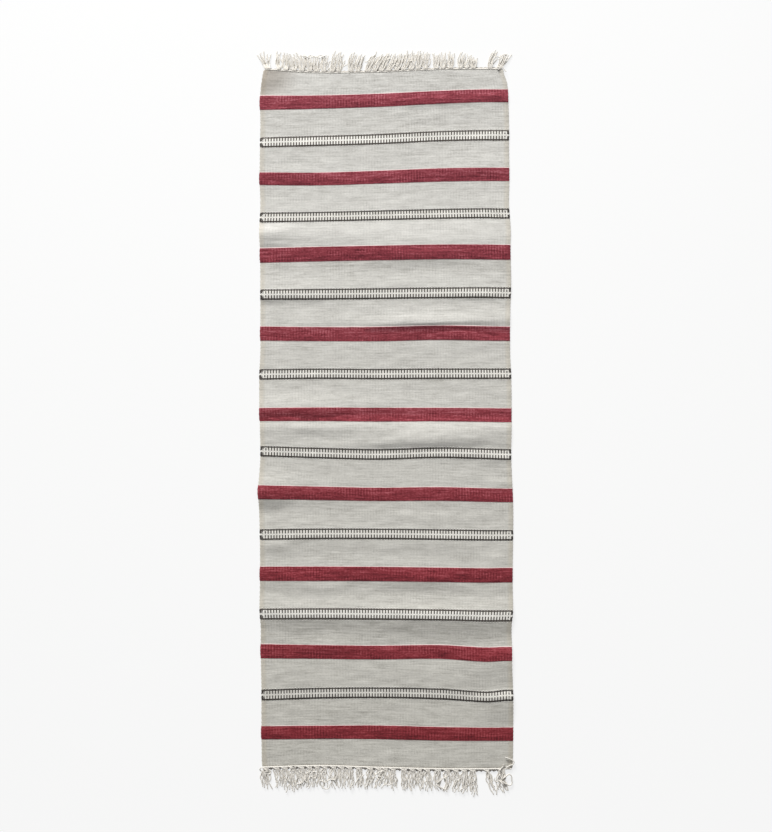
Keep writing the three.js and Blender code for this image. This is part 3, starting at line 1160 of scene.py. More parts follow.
    def understrands(self, per_lock: int = 5) -> Shell:
        """Builds the yarns below the locks, which part from each root and fill between the locks.

        Each swings aside by its share of the gap to the next lock within the first half of its
        way, as a quarter of a sine wave, and then sways. A gap as wide as a parting stays open.

        Args:
            per_lock: How many yarns leave each root.

        Returns:
            The yarns as one shell.
        """
        rng = np.random.default_rng(13 + self.end.value)
        across = np.array([lock.across for lock in self.locks]) * MM
        lean = np.array([lock.lean for lock in self.locks]) * MM
        long = np.array([lock.length for lock in self.locks]) * MM
        gaps = np.diff(across, prepend=across[0] - 16 * MM, append=across[-1] + 14 * MM)
        share = np.linspace(-0.62, 0.62, per_lock)
        gap = np.where(share[None, :] < 0, gaps[:-1, None], gaps[1:, None])
        gap = np.where(gap > self.parting, self.parting * 0.45, gap)
        swing = (gap * share[None, :]).ravel() + rng.normal(0, 1.6 * MM, len(across) * per_lock)
        root = np.repeat(across, per_lock)
        lean = np.repeat(lean, per_lock)
        length = np.repeat(long, per_lock) * rng.uniform(0.55, 0.86, len(root))
        t = np.linspace(0, 1, self.under_steps)[None, :]
        way = np.broadcast_to(t, (len(root), self.under_steps))
        x = root[:, None] + swing[:, None] * np.sin(np.pi / 2 * np.minimum(way * 2.2, 1))
        x = x + lean[:, None] * (0.4 * way + 0.4 * way**2) + 1.3 * self.waves(rng, way, length)
        base = self.edge(root) + self.end.value * (self.cord_width * 0.6)
        y = base[:, None] + self.end.value * length[:, None] * way
        phase = rng.uniform(0, 3, (len(root), 1))
        z = self.strand_radius * (1.3 + 0.5 * np.sin(np.pi * way + phase) ** 2)
        # Painted shade: the yarns below the locks are drawn a little darker than the strands over them.
        tones = np.clip(rng.normal(self.lightness - 0.07, 0.07, len(root)), 0, 1)
        radius = self.strand_radius * rng.normal(0.98, 0.06, len(root))
        return twisted_yarns(np.stack([x, y, z], axis=-1), radius, self.yarn_pitch, tones, sides=6)

    def wanderers(self) -> Shell:
        """Builds the loose yarns: each starts with its heading and turns at an even rate.

        Returns:
            The loose yarns as one shell.
        """
        rng = np.random.default_rng(23 + self.end.value)
        table = np.array(self.loose, float)
        across, out, heading, length, turn, height, girth = table.T
        t = np.linspace(0, 1, self.loose_steps)[None, :]
        angle = np.radians(heading[:, None] + turn[:, None] * t)
        angle = angle + 0.12 * np.sin(2 * np.pi * t * length[:, None] / 14 + heading[:, None])
        angle = angle + 0.5 * np.sin(2 * np.pi * t * length[:, None] / 33 + 2 * heading[:, None])
        step = length[:, None] * MM / t.size
        x = across[:, None] * MM + np.cumsum(np.sin(angle) * step, axis=1)
        start = self.edge(across * MM)[:, None] + self.end.value * out[:, None] * MM
        y = start + self.end.value * np.cumsum(np.cos(angle) * step, axis=1)
        z = height[:, None] * MM * (0.75 + 0.25 * np.cos(2.2 * np.pi * t))
        z = self.above_floor_and_cloth(x, y, z)
        tones = np.clip(rng.normal(0.7, 0.08, len(table)), 0, 1)
        radius = self.strand_radius * girth
        return twisted_yarns(np.stack([x, y, z], axis=-1), radius, self.yarn_pitch, tones)

    def cord(self) -> Shell:
        """Builds the twined cord: two yarns that wind round each other along the woven end.

        Returns:
            The cord's two yarns as one shell.
        """
        # The selvedges beside the two corners, 0.33 m left and right of the middle.
        left, right = self.lay.edges(self.edge(np.array([-0.33, 0.33])))
        x = np.linspace(left[0] + 3 * MM, right[1] - 3 * MM, self.cord_steps)
        middle = self.edge(x) + self.end.value * self.cord_width * 0.3
        turn = 2 * np.pi * x / (1.9 * self.cord_width)
        ply = self.cord_width * 0.17
        rise = self.cord_width * 0.5 + 1.4 * MM + self.lift(x)
        winds = [
            np.stack([x, middle + ply * np.cos(turn + start), rise + ply * np.sin(turn + start)], axis=1)
            for start in (0, np.pi)
        ]
        radius = np.full(2, self.cord_width * 0.3)
        return twisted_yarns(np.array(winds), radius, self.yarn_pitch, np.array([0.86, 0.8]))

    def wraps(self) -> Shell:
        """Builds the wrap at the root of each lock: a thick yarn slanting out of the cord.

        Returns:
            The wraps as one shell.
        """
        across = np.array([lock.across for lock in self.locks])[:, None] * MM
        t = np.linspace(0, 1, self.wrap_steps)[None, :]
        x = across + self.wrap_slant * (t - 0.75)
        reach = self.cord_width * (0.3 + 1.7 * t)
        y = self.edge(x) + self.end.value * reach
        rise = self.cord_width * (0.6 + 0.25 * np.sin(np.pi * t)) + 1.6 * MM * (1 - 0.5 * t)
        z = rise + self.lift(x) * (1 - t)
        radius = np.full(len(across), self.cord_width * 0.3)
        tones = np.full(len(across), 0.8)
        return twisted_yarns(np.stack([x, y, z], axis=-1), radius, self.yarn_pitch, tones)

    def shade(self) -> Shell:
        """Builds a low dark strip under the wraps, with a wavy rim: painted shade where the cord and the
        wraps shade the woven end.

        Returns:
            The strip as one closed shell.
        """
        columns = self.shade_columns
        left, right = self.locks[0].across * MM - 6 * MM, self.locks[-1].across * MM + 6 * MM
        x = np.linspace(left, right, columns)
        edge = self.edge(x)
        rim = self.shade_width * (1 + 0.25 * np.sin(2 * np.pi * x / (12 * MM)))
        inner, outer = edge - self.end.value * MM, edge + self.end.value * rim
        low, high = np.full(columns, 0.3 * MM), np.full(columns, self.shade_height)
        loop = [(inner, low), (inner, high), (outer, high), (outer, low)]
        points = np.stack([np.stack([x, y, z], axis=1) for y, z in loop], axis=1)
        faces = ring_faces(columns, 4)
        first, last = np.array([[3, 2, 1, 0]]), np.array([[0, 1, 2, 3]]) + (columns - 1) * 4
        blocks = [faces, first, last]
        if self.end is End.FOOT:
            blocks = [block[:, ::-1] for block in blocks]
        flat = points.reshape(-1, 3)
        span = np.array([x[-1] - x[0], np.ptp(flat[:, 1])])
        chart = (flat[:, :2] - [x[0], flat[:, 1].min()]) / span
        return Shell(flat, blocks, flat[:, :2].copy(), chart, np.full(len(flat), 0.1))


# What may feed a node's input: a socket, or a node by its first live output.
Feed = bpy.types.Node | bpy.types.NodeSocket


def add_node(
    tree: bpy.types.NodeTree,
    kind: str,
    settings: dict[str, Any] | None = None,
    inputs: dict[str | int, Any] | None = None,
) -> bpy.types.Node:
    """Adds a node, with its settings and what feeds it.

    Args:
        tree: The material's nodes.
        kind: The node's type, without the words ShaderNode that each type starts with.
        settings: Its own settings; stops are the places and colours of a colour ramp.
        inputs: For each input, the node or socket that feeds it, or the value that it has. A
            node feeds it from its first live output.

    Returns:
        The new node.
    """
    node = tree.nodes.new("ShaderNode" + kind)
    for name, value in (settings or {}).items():
        if name == "stops":
            ramp = node.color_ramp
            while len(ramp.elements) < len(value):
                ramp.elements.new(1.0)
            for element, (place, colour) in zip(ramp.elements, value):
                element.position = place
                element.color = colour
        elif name == "spread":
            node.color_ramp.interpolation = value
        else:
            setattr(node, name, value)
    for name, value in (inputs or {}).items():
        if isinstance(value, bpy.types.Node):
            value = next(socket for socket in value.outputs if socket.enabled)
        if isinstance(value, bpy.types.NodeSocket):
            tree.links.new(value, node.inputs[name])
        else:
            node.inputs[name].default_value = value
    return node


def new_material(name: str) -> tuple[bpy.types.Material, bpy.types.NodeTree]:
    """Makes an empty material.

    Args:
        name: The material's name.

    Returns:
        The material and its nodes.
    """
    material = bpy.data.materials.new(name)
    material.use_nodes = True
    material.node_tree.nodes.clear()
    return material, material.node_tree


def shades(*codes: str) -> tuple[tuple[float, tuple[float, ...]], ...]:
    """The stops of a ramp that runs evenly through some colours.

    Args:
        codes: Two or more sRGB colours, each as six hex digits.

    Returns:
        The place and the linear colour of each stop.
    """
    return tuple((at / (len(codes) - 1), linear(code)) for at, code in enumerate(codes))


def drawn_noise(
    tree: bpy.types.NodeTree, chart: Feed, scale: tuple[float, float, float], detail: float
) -> bpy.types.NodeSocket:
    """Noise on a chart, drawn out by a scale of waves to the metre each way.

    Args:
        tree: The material's nodes.
        chart: The node or socket with the place.
        scale: Waves to the metre across, along and up.
        detail: How much finer noise is laid over it.

    Returns:
        The socket with the noise, from 0 to 1.
    """
    drawn = add_node(tree, "Mapping", None, {"Vector": chart, "Scale": scale})
    inputs = {"Vector": drawn, "Scale": 1.0, "Detail": detail, "Roughness": 0.6}
    return add_node(tree, "TexNoise", None, inputs).outputs["Fac"]


# Matt carded cotton: no gloss, and a faint sheen from the fibres that stand off it.
COTTON = {"Roughness": 0.94, "Specular IOR Level": 0.16, "Sheen Weight": 0.12, "Sheen Roughness": 0.55}
# How a Mix node lays one colour over another: by its share, or as a tint.
BLEND = {"data_type": "RGBA"}
TINT = {"data_type": "RGBA", "blend_type": "MULTIPLY"}


def finish_cotton(tree: bpy.types.NodeTree, colour: Feed, height: Feed, depth: float) -> None:
    """Ends a material with a bump and a shader for matt cotton.

    Args:
        tree: The material's nodes.
        colour: The node or socket that gives the colour.
        height: The node or socket that gives the height of the bump.
        depth: How deep the bump is, in metres.
    """
    bump = add_node(tree, "Bump", None, {"Height": height, "Distance": depth, "Strength": 1.0})
    surface = add_node(tree, "BsdfPrincipled", None, {"Base Color": colour, "Normal": bump, **COTTON})
    add_node(tree, "OutputMaterial", None, {"Surface": surface})


@dataclass(frozen=True)
class WeftFacedCotton:
    """Carded cotton weft beaten down over the warp: matt, with slubs that run across the rug.

    To the eye it is fine broken lines across, faint ribs along where the warp lies under it,
    and floats of weft like small bricks on end when seen close by. The foot colour is what the
    yarn is multiplied by towards the foot: painted shade, where the light falls off. The rim is
    the colour of the outermost picks of a stripe, and it starts at a share of the stripe's
    height from its middle. The selvedge's colour tints the picks at the sides, and the corner's
    colour is painted shade on the one corner at the head, on the left, where the cloth tilts away
    from the light. Each of the three is left out where its share is nought.
    """

    name: str
    dark: str
    base: str
    light: str
    foot: str
    rib: float
    streak: float
    fleck: float
    lots: tuple[tuple[float, float], ...]
    slope: float = 0.0
    selvedge: str = "ffffff"
    selvedge_share: float = 0.0
    selvedge_width: float = 11 * MM
    selvedge_ragged: float = 16 * MM
    selvedge_fade: tuple[float, float] = (4 * MM, 11 * MM)
    rim: str = "ffffff"
    rim_share: float = 0.0
    rim_starts: tuple[float, float] = (0.452, 0.466)
    soil_and_shade: str = "d3c6bb"
    corner_shade_share: float = 0.0
    corner_shade_place: tuple[float, float, float] = (0.0, 0.985, 0.0)
    corner_shade_reach: tuple[float, float] = (0.125, 0.015)
    foot_shade_reach: float = 0.9
    float_pitch: float = 2.12 * MM
    float_gap: float = 0.5 * MM
    gap_shade: float = 0.14
    slub_height: float = 2.2
    depth: float = 0.26 * MM

    def material(self) -> bpy.types.Material:
        """Builds the material on the cloth's own weave chart, which is in metres.

        Returns:
            The material.
        """
        material, tree = new_material(self.name)
        chart = add_node(tree, "UVMap", {"uv_map": "weave"})
        parts = add_node(tree, "SeparateXYZ", None, {0: chart})
        in_stripe = add_node(tree, "Attribute", {"attribute_name": "tone"}).outputs["Fac"]
        # Slubs about 75 mm long. One pick is about 1 mm, too fine to show, so they are drawn
        # 5 mm apart.
        slubs = drawn_noise(tree, chart, (13, 205, 1), 4.0)
        tone = self.tone(tree, chart, parts.outputs["X"], in_stripe, slubs)
        tone = self.with_lots(tree, parts.outputs["Y"], tone)
        stops = shades(self.dark, self.base, self.light)
        colour = add_node(tree, "ValToRGB", {"stops": stops}, {"Fac": tone})
        colour = self.tinted(tree, chart, parts.outputs["X"], slubs, colour)
        colour = self.rimmed(tree, chart, in_stripe, colour)
        gaps = self.gaps(tree, chart, parts)
        gap_share = add_node(tree, "Math", {"operation": "MULTIPLY"}, {0: gaps, 1: self.gap_shade})
        colour = add_node(tree, "Mix", BLEND, {0: gap_share, 6: colour, 7: linear(self.dark)})
        crowns = add_node(tree, "Math", {"operation": "SUBTRACT"}, {0: 1.0, 1: gaps})
        relief = {0: slubs, 1: self.slub_height, 2: crowns}
        height = add_node(tree, "Math", {"operation": "MULTIPLY_ADD"}, relief)
        finish_cotton(tree, colour, height, self.depth)
        return material

    def tone(
        self, tree: bpy.types.NodeTree, chart: Feed, across: Feed, in_stripe: Feed, slubs: Feed
    ) -> bpy.types.Node:
        """Adds up all that makes the yarn lighter or darker than its base, which is a half.

        Args:
            tree: The material's nodes.
            chart: The node with the place on the weave chart.
            across: The socket with the place across the cloth.
            in_stripe: The socket with the place over a stripe's height, from 0 to 1.
            slubs: The socket with the slubs.

        Returns:
            The node with the tone.
        """
        # The ribs show in clusters of 90 by 30 mm, and faintly between them. They run over
        # pairs of warps, 8 mm apart, because a single warp is finer than the picture.
        patchy = drawn_noise(tree, chart, (11, 34, 1), 1.0)
        cluster_inputs = {"Value": patchy, "From Min": 0.46, "From Max": 0.62, "To Min": 0.15}
        cluster = add_node(tree, "MapRange", None, cluster_inputs)
        sway = {0: drawn_noise(tree, chart, (40, 50, 1), 2.0), 1: 3.5 * MM, 2: across}
        swayed = add_node(tree, "Math", {"operation": "MULTIPLY_ADD"}, sway)
        turn = add_node(tree, "Math", {"operation": "MULTIPLY"}, {0: swayed, 1: math.pi / WARP_PITCH})
        wave = add_node(tree, "Math", {"operation": "SINE"}, {0: turn})
        ribs = add_node(tree, "Math", {"operation": "MULTIPLY"}, {0: wave, 1: cluster})
        # Finer lines 30 mm long and 2.4 mm apart, clouds of dye of 330 by 125 mm, patches of
        # 33 by 18 mm, and flecks of 7 by 4 mm.
        picks = drawn_noise(tree, chart, (34, 420, 1), 2.0)
        dye = drawn_noise(tree, chart, (3, 8, 1), 2.0)
        patch = drawn_noise(tree, chart, (30, 55, 1), 3.0)
        flecks = drawn_noise(tree, chart, (140, 240, 1), 2.0)
        # Each part has its share and the value at which it changes nothing.
        shares = (
            (slubs, self.streak, 0.5),
            (picks, self.streak * 0.5, 0.5),
            (dye, 0.3, 0.5),
            (patch, 0.5, 0.5),
            (flecks, self.fleck, 0.5),
            (in_stripe, self.slope, 0.5),
            (ribs, self.rib, 0.0),
        )
        tone: Feed | float = 0.5
        for part, share, rest in shares:
            inputs = {0: part, 1: share, 2: -share * rest}
            scaled = add_node(tree, "Math", {"operation": "MULTIPLY_ADD"}, inputs)
            tone = add_node(tree, "Math", {"operation": "ADD"}, {0: scaled, 1: tone})
        return tone

    def with_lots(self, tree: bpy.types.NodeTree, along: Feed, tone: Feed) -> bpy.types.Node:
        """Shifts the tone by the lot of yarn, which changes gently from one lot to the next.

        Args:
            tree: The material's nodes.
            along: The socket with the place along the cloth, in metres.
            tone: The node with the tone.

        Returns:
            The node with the shifted tone.
        """
        first, last = self.lots[0][0] * MM, self.lots[-1][0] * MM
        part = add_node(tree, "MapRange", None, {"Value": along, "From Min": first, "From Max": last})
        stops = tuple(
            ((at * MM - first) / (last - first), (0.5 + shift,) * 3 + (1.0,)) for at, shift in self.lots
        )
        lot = add_node(tree, "ValToRGB", {"stops": stops, "spread": "EASE"}, {"Fac": part})
        centred = add_node(tree, "Math", {"operation": "SUBTRACT"}, {0: lot, 1: 0.5})
        return add_node(tree, "Math", {"operation": "ADD"}, {0: centred, 1: tone})

    def tinted(
        self, tree: bpy.types.NodeTree, chart: Feed, across: Feed, slubs: Feed, colour: Feed
    ) -> bpy.types.Node:
        """Tints the yarn: painted shade towards the foot and at the head's left corner, and the
        selvedges' own tint, ragged.

        Args:
            tree: The material's nodes.
            chart: The node with the place on the weave chart.
            across: The socket with the place across the cloth.
            slubs: The socket with the slubs, which make the selvedges' tint ragged.
            colour: The node with the yarn's colour.

        Returns:
            The node with the tinted colour.
        """
        # Painted shade: towards the foot the yarn is multiplied more and more by the foot colour, where
        # the light falls off.
        place = add_node(tree, "TexCoord").outputs["Object"]
        along = add_node(tree, "SeparateXYZ", None, {0: place}).outputs["Y"]
        foot_shade_inputs = {"Value": along, "From Min": self.foot_shade_reach, "From Max": -self.foot_shade_reach}
        foot_shade_mask = add_node(tree, "MapRange", None, foot_shade_inputs)

        from_middle = add_node(tree, "Math", {"operation": "SUBTRACT"}, {0: across, 1: FLAT_WIDTH / 2})
        away = add_node(tree, "Math", {"operation": "ABSOLUTE"}, {0: from_middle})
        ragged_inputs = {0: slubs, 1: self.selvedge_ragged, 2: away}
        ragged = add_node(tree, "Math", {"operation": "MULTIPLY_ADD"}, ragged_inputs)
        low, high = (FLAT_WIDTH / 2 - self.selvedge_width + fade for fade in self.selvedge_fade)
        edge_inputs = {"Value": ragged, "From Min": low, "From Max": high, "To Max": self.selvedge_share}
        at_edge = add_node(tree, "MapRange", None, edge_inputs)

        # Painted shade: the head's left corner, where the cloth tilts away from the light, is multiplied
        # by the corner's colour.
        corner = {0: chart, 1: self.corner_shade_place}
        from_corner = add_node(tree, "VectorMath", {"operation": "DISTANCE"}, corner)
        far, near = self.corner_shade_reach
        corner_shade_inputs = {"Value": from_corner, "From Min": far, "From Max": near, "To Max": self.corner_shade_share}
        corner_shade_mask = add_node(tree, "MapRange", {"interpolation_type": "SMOOTHSTEP"}, corner_shade_inputs)
        for share, tint in ((foot_shade_mask, self.foot), (at_edge, self.selvedge), (corner_shade_mask, self.soil_and_shade)):
            colour = add_node(tree, "Mix", TINT, {0: share, 6: colour, 7: linear(tint)})
        return colour

    def rimmed(
        self, tree: bpy.types.NodeTree, chart: Feed, in_stripe: Feed, colour: Feed
    ) -> bpy.types.Node:
        """Gives a stripe its rim, uneven where one pick gives way to the next.

        Args:
            tree: The material's nodes.
            chart: The node with the place on the weave chart.
            in_stripe: The socket with the place over a stripe's height, from 0 to 1.
            colour: The node with the yarn's colour.

        Returns:
            The node with the colour.
        """
        from_line = add_node(tree, "Math", {"operation": "SUBTRACT"}, {0: in_stripe, 1: 0.5})
        away = add_node(tree, "Math", {"operation": "ABSOLUTE"}, {0: from_line})
        waver = {0: drawn_noise(tree, chart, (60, 10, 1), 1.0), 1: 0.03, 2: away}
        wavering = add_node(tree, "Math", {"operation": "MULTIPLY_ADD"}, waver)
        low, high = self.rim_starts
        rim_inputs = {"Value": wavering, "From Min": low, "From Max": high, "To Max": self.rim_share}
        at_rim = add_node(tree, "MapRange", None, rim_inputs)
        return add_node(tree, "Mix", BLEND, {0: at_rim, 6: colour, 7: linear(self.rim)})

    def gaps(
        self, tree: bpy.types.NodeTree, chart: Feed, parts: bpy.types.Node
    ) -> bpy.types.NodeSocket:
        """Draws the gaps between floats: bricks on end, each column half a float off the last.

        They are drawn a little crooked because no two picks lie quite alike.

        Args:
            tree: The material's nodes.
            chart: The node with the place on the weave chart.
            parts: The node with the place's two parts.

        Returns:
            The socket that is 1 in a gap and 0 on a float.
        """
        along_noise = drawn_noise(tree, chart, (40, 25, 1), 2.0)
        across_noise = drawn_noise(tree, chart, (50, 60, 1), 2.0)
        along_inputs = {0: along_noise, 1: 3.2 * MM, 2: parts.outputs["Y"]}
        across_inputs = {0: across_noise, 1: 1.1 * MM, 2: parts.outputs["X"]}
        along = add_node(tree, "Math", {"operation": "MULTIPLY_ADD"}, along_inputs)
        across = add_node(tree, "Math", {"operation": "MULTIPLY_ADD"}, across_inputs)
        on_end = add_node(tree, "CombineXYZ", None, {"X": along, "Y": across})
        inputs = {
            "Vector": on_end,
            "Scale": 1.0,
            "Brick Width": self.float_pitch,
            "Row Height": WARP_PITCH,
            "Mortar Size": self.float_gap,
            "Mortar Smooth": 1.0,
        }
        return add_node(tree, "TexBrick", {"offset": 0.5, "offset_frequency": 2}, inputs).outputs["Fac"]


@dataclass(frozen=True)
class FigurePaint:
    """Black and white weft under the floats of a figured band, in the same rows of teeth."""

    name: str = "figured_weft_cotton"
    black: str = "45403b"
    white: str = "e0ddd5"
    hook: float = 4 * MM
    tooth_level: float = -0.3
    # Where each stretch of the band begins, and its grey, of which bcbcbc is a linear half.
    starts: tuple[tuple[float, str], ...] = (
        (0.0, "000000"),
        (0.16, "bcbcbc"),
        (0.446, "ffffff"),
        (0.589, "bcbcbc"),
        (0.875, "000000"),
    )

    def material(self) -> bpy.types.Material:
        """Builds the material on the tone, which runs from 0 to 1 over the band's height.

        A ramp gives 0 for a black line, a half for teeth and 1 for the white line. The colour
        is twice that, less one, plus a square wave across that stops at the selvedge hooks.

        Returns:
            The material.
        """
        material, tree = new_material(self.name)
        chart = add_node(tree, "UVMap", {"uv_map": "weave"})
        across = add_node(tree, "SeparateXYZ", None, {0: chart}).outputs["X"]
        tone = add_node(tree, "Attribute", {"attribute_name": "tone"}).outputs["Fac"]
        stops = tuple((at, linear(code)) for at, code in self.starts)
        ramp = add_node(tree, "ValToRGB", {"stops": stops, "spread": "CONSTANT"}, {"Fac": tone})
        from_middle = add_node(tree, "Math", {"operation": "SUBTRACT"}, {0: across, 1: FLAT_WIDTH / 2})
        away = add_node(tree, "Math", {"operation": "ABSOLUTE"}, {0: from_middle})
        reach = FLAT_WIDTH / 2 - self.hook
        inside = add_node(tree, "Math", {"operation": "LESS_THAN"}, {0: away, 1: reach})
        turn = add_node(tree, "Math", {"operation": "MULTIPLY"}, {0: across, 1: math.pi / WARP_PITCH})
        sine = add_node(tree, "Math", {"operation": "SINE"}, {0: turn})
        square = add_node(tree, "Math", {"operation": "GREATER_THAN"}, {0: sine, 1: self.tooth_level})
        teeth = add_node(tree, "Math", {"operation": "MULTIPLY"}, {0: square, 1: inside})
        line = add_node(tree, "Math", {"operation": "MULTIPLY_ADD"}, {0: ramp, 1: 2.0, 2: -1.0})
        white = add_node(tree, "Math", {"operation": "ADD", "use_clamp": True}, {0: line, 1: teeth})
        colours = {0: white, 6: linear(self.black), 7: linear(self.white)}
        colour = add_node(tree, "Mix", BLEND, colours)
        finish_cotton(tree, colour, drawn_noise(tree, chart, (120, 900, 1), 2.0), 0.2 * MM)
        return material


@dataclass(frozen=True)
class TwistedCotton:
    """Twisted cotton yarn: matt, its plies darker in their grooves by painted shade, no two alike.

    The tone attribute runs from dark in a groove or a dull yarn to light on a crown or a clean yarn: the
    dark of a groove is painted shade, the light of a crown painted light.
    """

    name: str
    dark: str
    base: str
    light: str
    wear: float = 0.3

    def material(self) -> bpy.types.Material:
        """Builds the material on the tone attribute, with fine fibre and slow blotches of grime over it.

        Returns:
            The material.
        """
        material, tree = new_material(self.name)
        tone = add_node(tree, "Attribute", {"attribute_name": "tone"}).outputs["Fac"]
        place = add_node(tree, "TexCoord").outputs["Object"]
        fibre = drawn_noise(tree, place, (420, 420, 420), 2.0)
        soil_and_shade = drawn_noise(tree, place, (40, 40, 40), 2.0)
        mixed = add_node(tree, "Math", {"operation": "MULTIPLY_ADD"}, {0: fibre, 1: self.wear, 2: tone})
        worn = add_node(tree, "Math", {"operation": "MULTIPLY_ADD"}, {0: soil_and_shade, 1: self.wear, 2: mixed})
        centred = add_node(tree, "Math", {"operation": "SUBTRACT"}, {0: worn, 1: self.wear})
        stops = shades(self.dark, self.base, self.light)
        colour = add_node(tree, "ValToRGB", {"stops": stops}, {"Fac": centred})
        finish_cotton(tree, colour, fibre, 0.15 * MM)
        return material


@dataclass
class Runner:
    """The whole rug: it builds each part, dresses it and lets it ride on the frame's body."""

    lay: Lay = field(default_factory=Lay)
    body: str = "root"
    pieces: list[bpy.types.Object] = field(default_factory=list)

    def add(self, shell: Shell, name: str, material: bpy.types.Material, yarn: Yarn) -> bpy.types.Object:
        """Makes a piece of the rug from a shell.

        Args:
            shell: Its form.
            name: Its name.
            material: Its finish.
            yarn: The yarn whose slot it would take; it is not used.

        Returns:
            The new piece.
        """
        piece = shell.to_object(name, material)
        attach(piece, self.body)
        self.pieces.append(piece)
        return piece

    def build(self) -> None:
        ground = WeftFacedCotton(
            name="undyed_grey_weft_cotton",
            dark="98958e",
            base="c5c3bd",
            light="dfddd7",
            # Painted shade towards the foot.
            foot="f8f7f3",
            rib=0.07,
            streak=1.05,
            fleck=0.55,
            lots=DYE_LOTS,
            # Painted shade on the head's left corner.
            corner_shade_share=0.55,
            selvedge="f8f2e8",
            selvedge_share=0.6,
        ).material()
        red = WeftFacedCotton(
            name="crimson_weft_cotton",
            dark="551a24",
            base="8b3b45",
            light="b86f79",
            # Painted shade towards the foot.
            foot="edbcb9",
            rib=0.16,
            streak=1.4,
            fleck=1.0,
            lots=RED_LOTS,
            rim="decfcb",
            rim_share=0.85,
            slope=0.3,
        ).material()
        figured_paint = FigurePaint().material()
        black = TwistedCotton("black_weft_cotton", "2a2623", "45403b", "655e58").material()
        white = TwistedCotton("bleached_weft_cotton", "c6c3bb", "e4e1da", "f6f4ee").material()
        light_ground = TwistedCotton("undyed_float_cotton", "bdbab3", "dbd9d3", "eceae4").material()
        warp = TwistedCotton("undyed_warp_cotton", "c3bdb3", "d3cec5", "e1ddd5").material()
        # A dark warp colour for the strip of painted shade under the wraps at each end.
        painted_shade_cotton = TwistedCotton("painted_shade_warp_cotton", "a09a91", "b0aaa1", "bdb7ae").material()

        cloth_kit = GroundCloth(self.lay)
        cloth = self.add(cloth_kit.shell(), "rug_cloth", ground, Yarn.GROUND)
        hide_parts("cloth")

        lines = self.lay.woven_lines()
        reds = [i for i, line in enumerate(WEFT_LINES) if line.kind is Stripe.RED]
        figured = [i for i, line in enumerate(WEFT_LINES) if line.kind is Stripe.FIGURED]
        for number, at in enumerate(reds, 1):
            sleeve = Sleeve(self.lay, lines[at], WEFT_LINES[at].height * MM)
            self.add(sleeve.shell(), f"red_stripe_{number}", red, Yarn.RED)
        edge_floats = []
        for number, at in enumerate(figured, 1):
            height = WEFT_LINES[at].height * MM
            band = FiguredBand(self.lay, number, lines[at], height)
            self.add(band.sleeve(), f"figured_band_{number}", figured_paint, Yarn.BLACK)
            self.add(band.floats("B"), f"black_floats_{number}", black, Yarn.BLACK)
            self.add(band.floats("W"), f"white_floats_{number}", white, Yarn.WHITE)
            edge_floats.append(band.floats("G"))
        self.add(Shell.joined(edge_floats), "edge_floats", light_ground, Yarn.GROUND)

        head = Fringe(
            self.lay,
            End.HEAD,
            HEAD_LOCKS,
            HEAD_LOOSE,
            cord_width=4.2 * MM,
            wrap_slant=-4 * MM,
            wave=0.9 * MM,
            shade_width=6 * MM,
            shade_height=1.6 * MM,
            lightness=0.52,
        )
        foot = Fringe(
            self.lay,
            End.FOOT,
            FOOT_LOCKS,
            FOOT_LOOSE,
            cord_width=5.4 * MM,
            wrap_slant=15 * MM,
            wave=2.2 * MM,
            shade_width=8 * MM,
            shade_height=4.6 * MM,
            # Painted light: the foot's warp is the same yarn as the head's, drawn lighter against the
            # light that falls off towards the foot.
            lightness=0.64,
        )
        for fringe, name in ((head, "head"), (foot, "foot")):
            cord = self.add(fringe.cord(), f"{name}_cord", warp, Yarn.FRINGE)
            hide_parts(f"fringe_{name}")
            self.add(fringe.wraps(), f"{name}_wraps", warp, Yarn.FRINGE)
            self.add(fringe.shade(), f"{name}_painted_shade_strip", painted_shade_cotton, Yarn.FRINGE)
            self.add(fringe.strands(), f"{name}_strands", warp, Yarn.FRINGE)
            self.add(fringe.understrands(), f"{name}_understrands", warp, Yarn.FRINGE)
            self.add(fringe.wanderers(), f"{name}_loose_yarns", warp, Yarn.FRINGE)


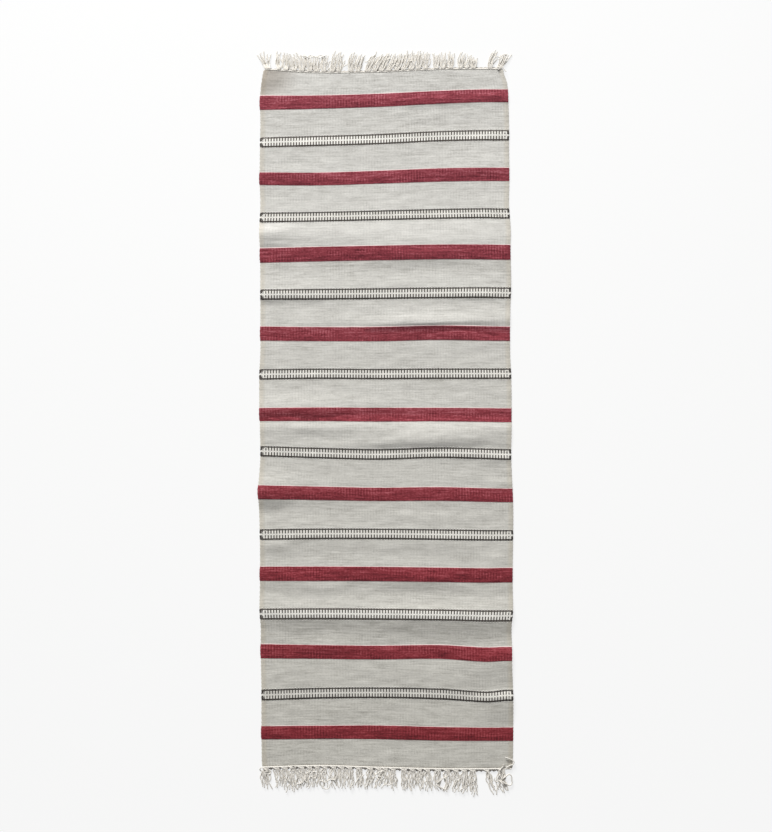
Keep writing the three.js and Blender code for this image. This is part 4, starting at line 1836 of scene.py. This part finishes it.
@dataclass(frozen=True)
class Studio:
    """The pale floor, the soft light from beyond the head, and the camera straight above."""

    view_height: float = 2.3296
    centre_x: float = 0.0007
    centre_y: float = 0.021
    lens: float = 85.0
    sensor: float = 36.0
    floor_half: float = 6.0

    def build(self) -> None:
        """Adds the floor, the lights and the camera, and plain colours for the picture."""
        scene = bpy.context.scene
        scene.view_settings.view_transform = "Standard"
        mesh = bpy.data.meshes.new("floor")
        half = self.floor_half
        corners = [(-half, -half, 0), (half, -half, 0), (half, half, 0), (-half, half, 0)]
        mesh.from_pydata(corners, [], [(0, 1, 2, 3)])
        floor = bpy.data.objects.new("floor", mesh)
        scene.collection.objects.link(floor)
        material, tree = new_material("painted_floor")
        paint = {
            "Base Color": linear("787877"),
            "Roughness": 0.9,
            "Specular IOR Level": 0.1,
            "Emission Color": linear("ffffff"),
            "Emission Strength": 0.745,
        }
        painted = add_node(tree, "BsdfPrincipled", None, paint)
        add_node(tree, "OutputMaterial", None, {"Surface": painted})
        mesh.materials.append(material)

        world = bpy.data.worlds.new("room")
        world.use_nodes = True
        air = world.node_tree.nodes["Background"]
        air.inputs["Color"].default_value = linear("fbfcff")
        air.inputs["Strength"].default_value = 0.33
        scene.world = world

        self.lamp("window", "SUN", place=(-0.35, 1.0, 0.52), power=3.4, size=0.35)
        self.lamp("lamp_at_head", "AREA", place=(-0.5, 2.6, 2.2), power=60.0, size=2.4)

        lens = bpy.data.cameras.new("camera")
        lens.lens, lens.sensor_width = self.lens, self.sensor
        lens.clip_end = 50.0
        camera = bpy.data.objects.new("camera", lens)
        distance = self.view_height * self.lens / self.sensor
        camera.location = (self.centre_x, self.centre_y, distance)
        scene.collection.objects.link(camera)
        scene.camera = camera

    @staticmethod
    def lamp(
        name: str, kind: str, place: tuple[float, float, float], power: float, size: float
    ) -> None:
        """Adds a lamp that points at the middle of the rug.

        Args:
            name: The lamp's name.
            kind: The lamp's type, a sun or an area.
            place: Where it stands.
            power: Its strength.
            size: Its side in metres, or for a sun its angle.
        """
        data = bpy.data.lights.new(name, kind)
        data.energy = power
        if kind == "SUN":
            data.angle = size
        else:
            data.size = size
        made = bpy.data.objects.new(name, data)
        made.location = place
        made.rotation_mode = "QUATERNION"
        made.rotation_quaternion = made.location.to_track_quat("Z", "Y")
        bpy.context.scene.collection.objects.link(made)


def main() -> None:
    logging.basicConfig(level=logging.INFO, format="%(message)s")
    Studio().build()
    Runner().build()
    bpy.context.view_layer.update()


if __name__ == "__main__":
    main()
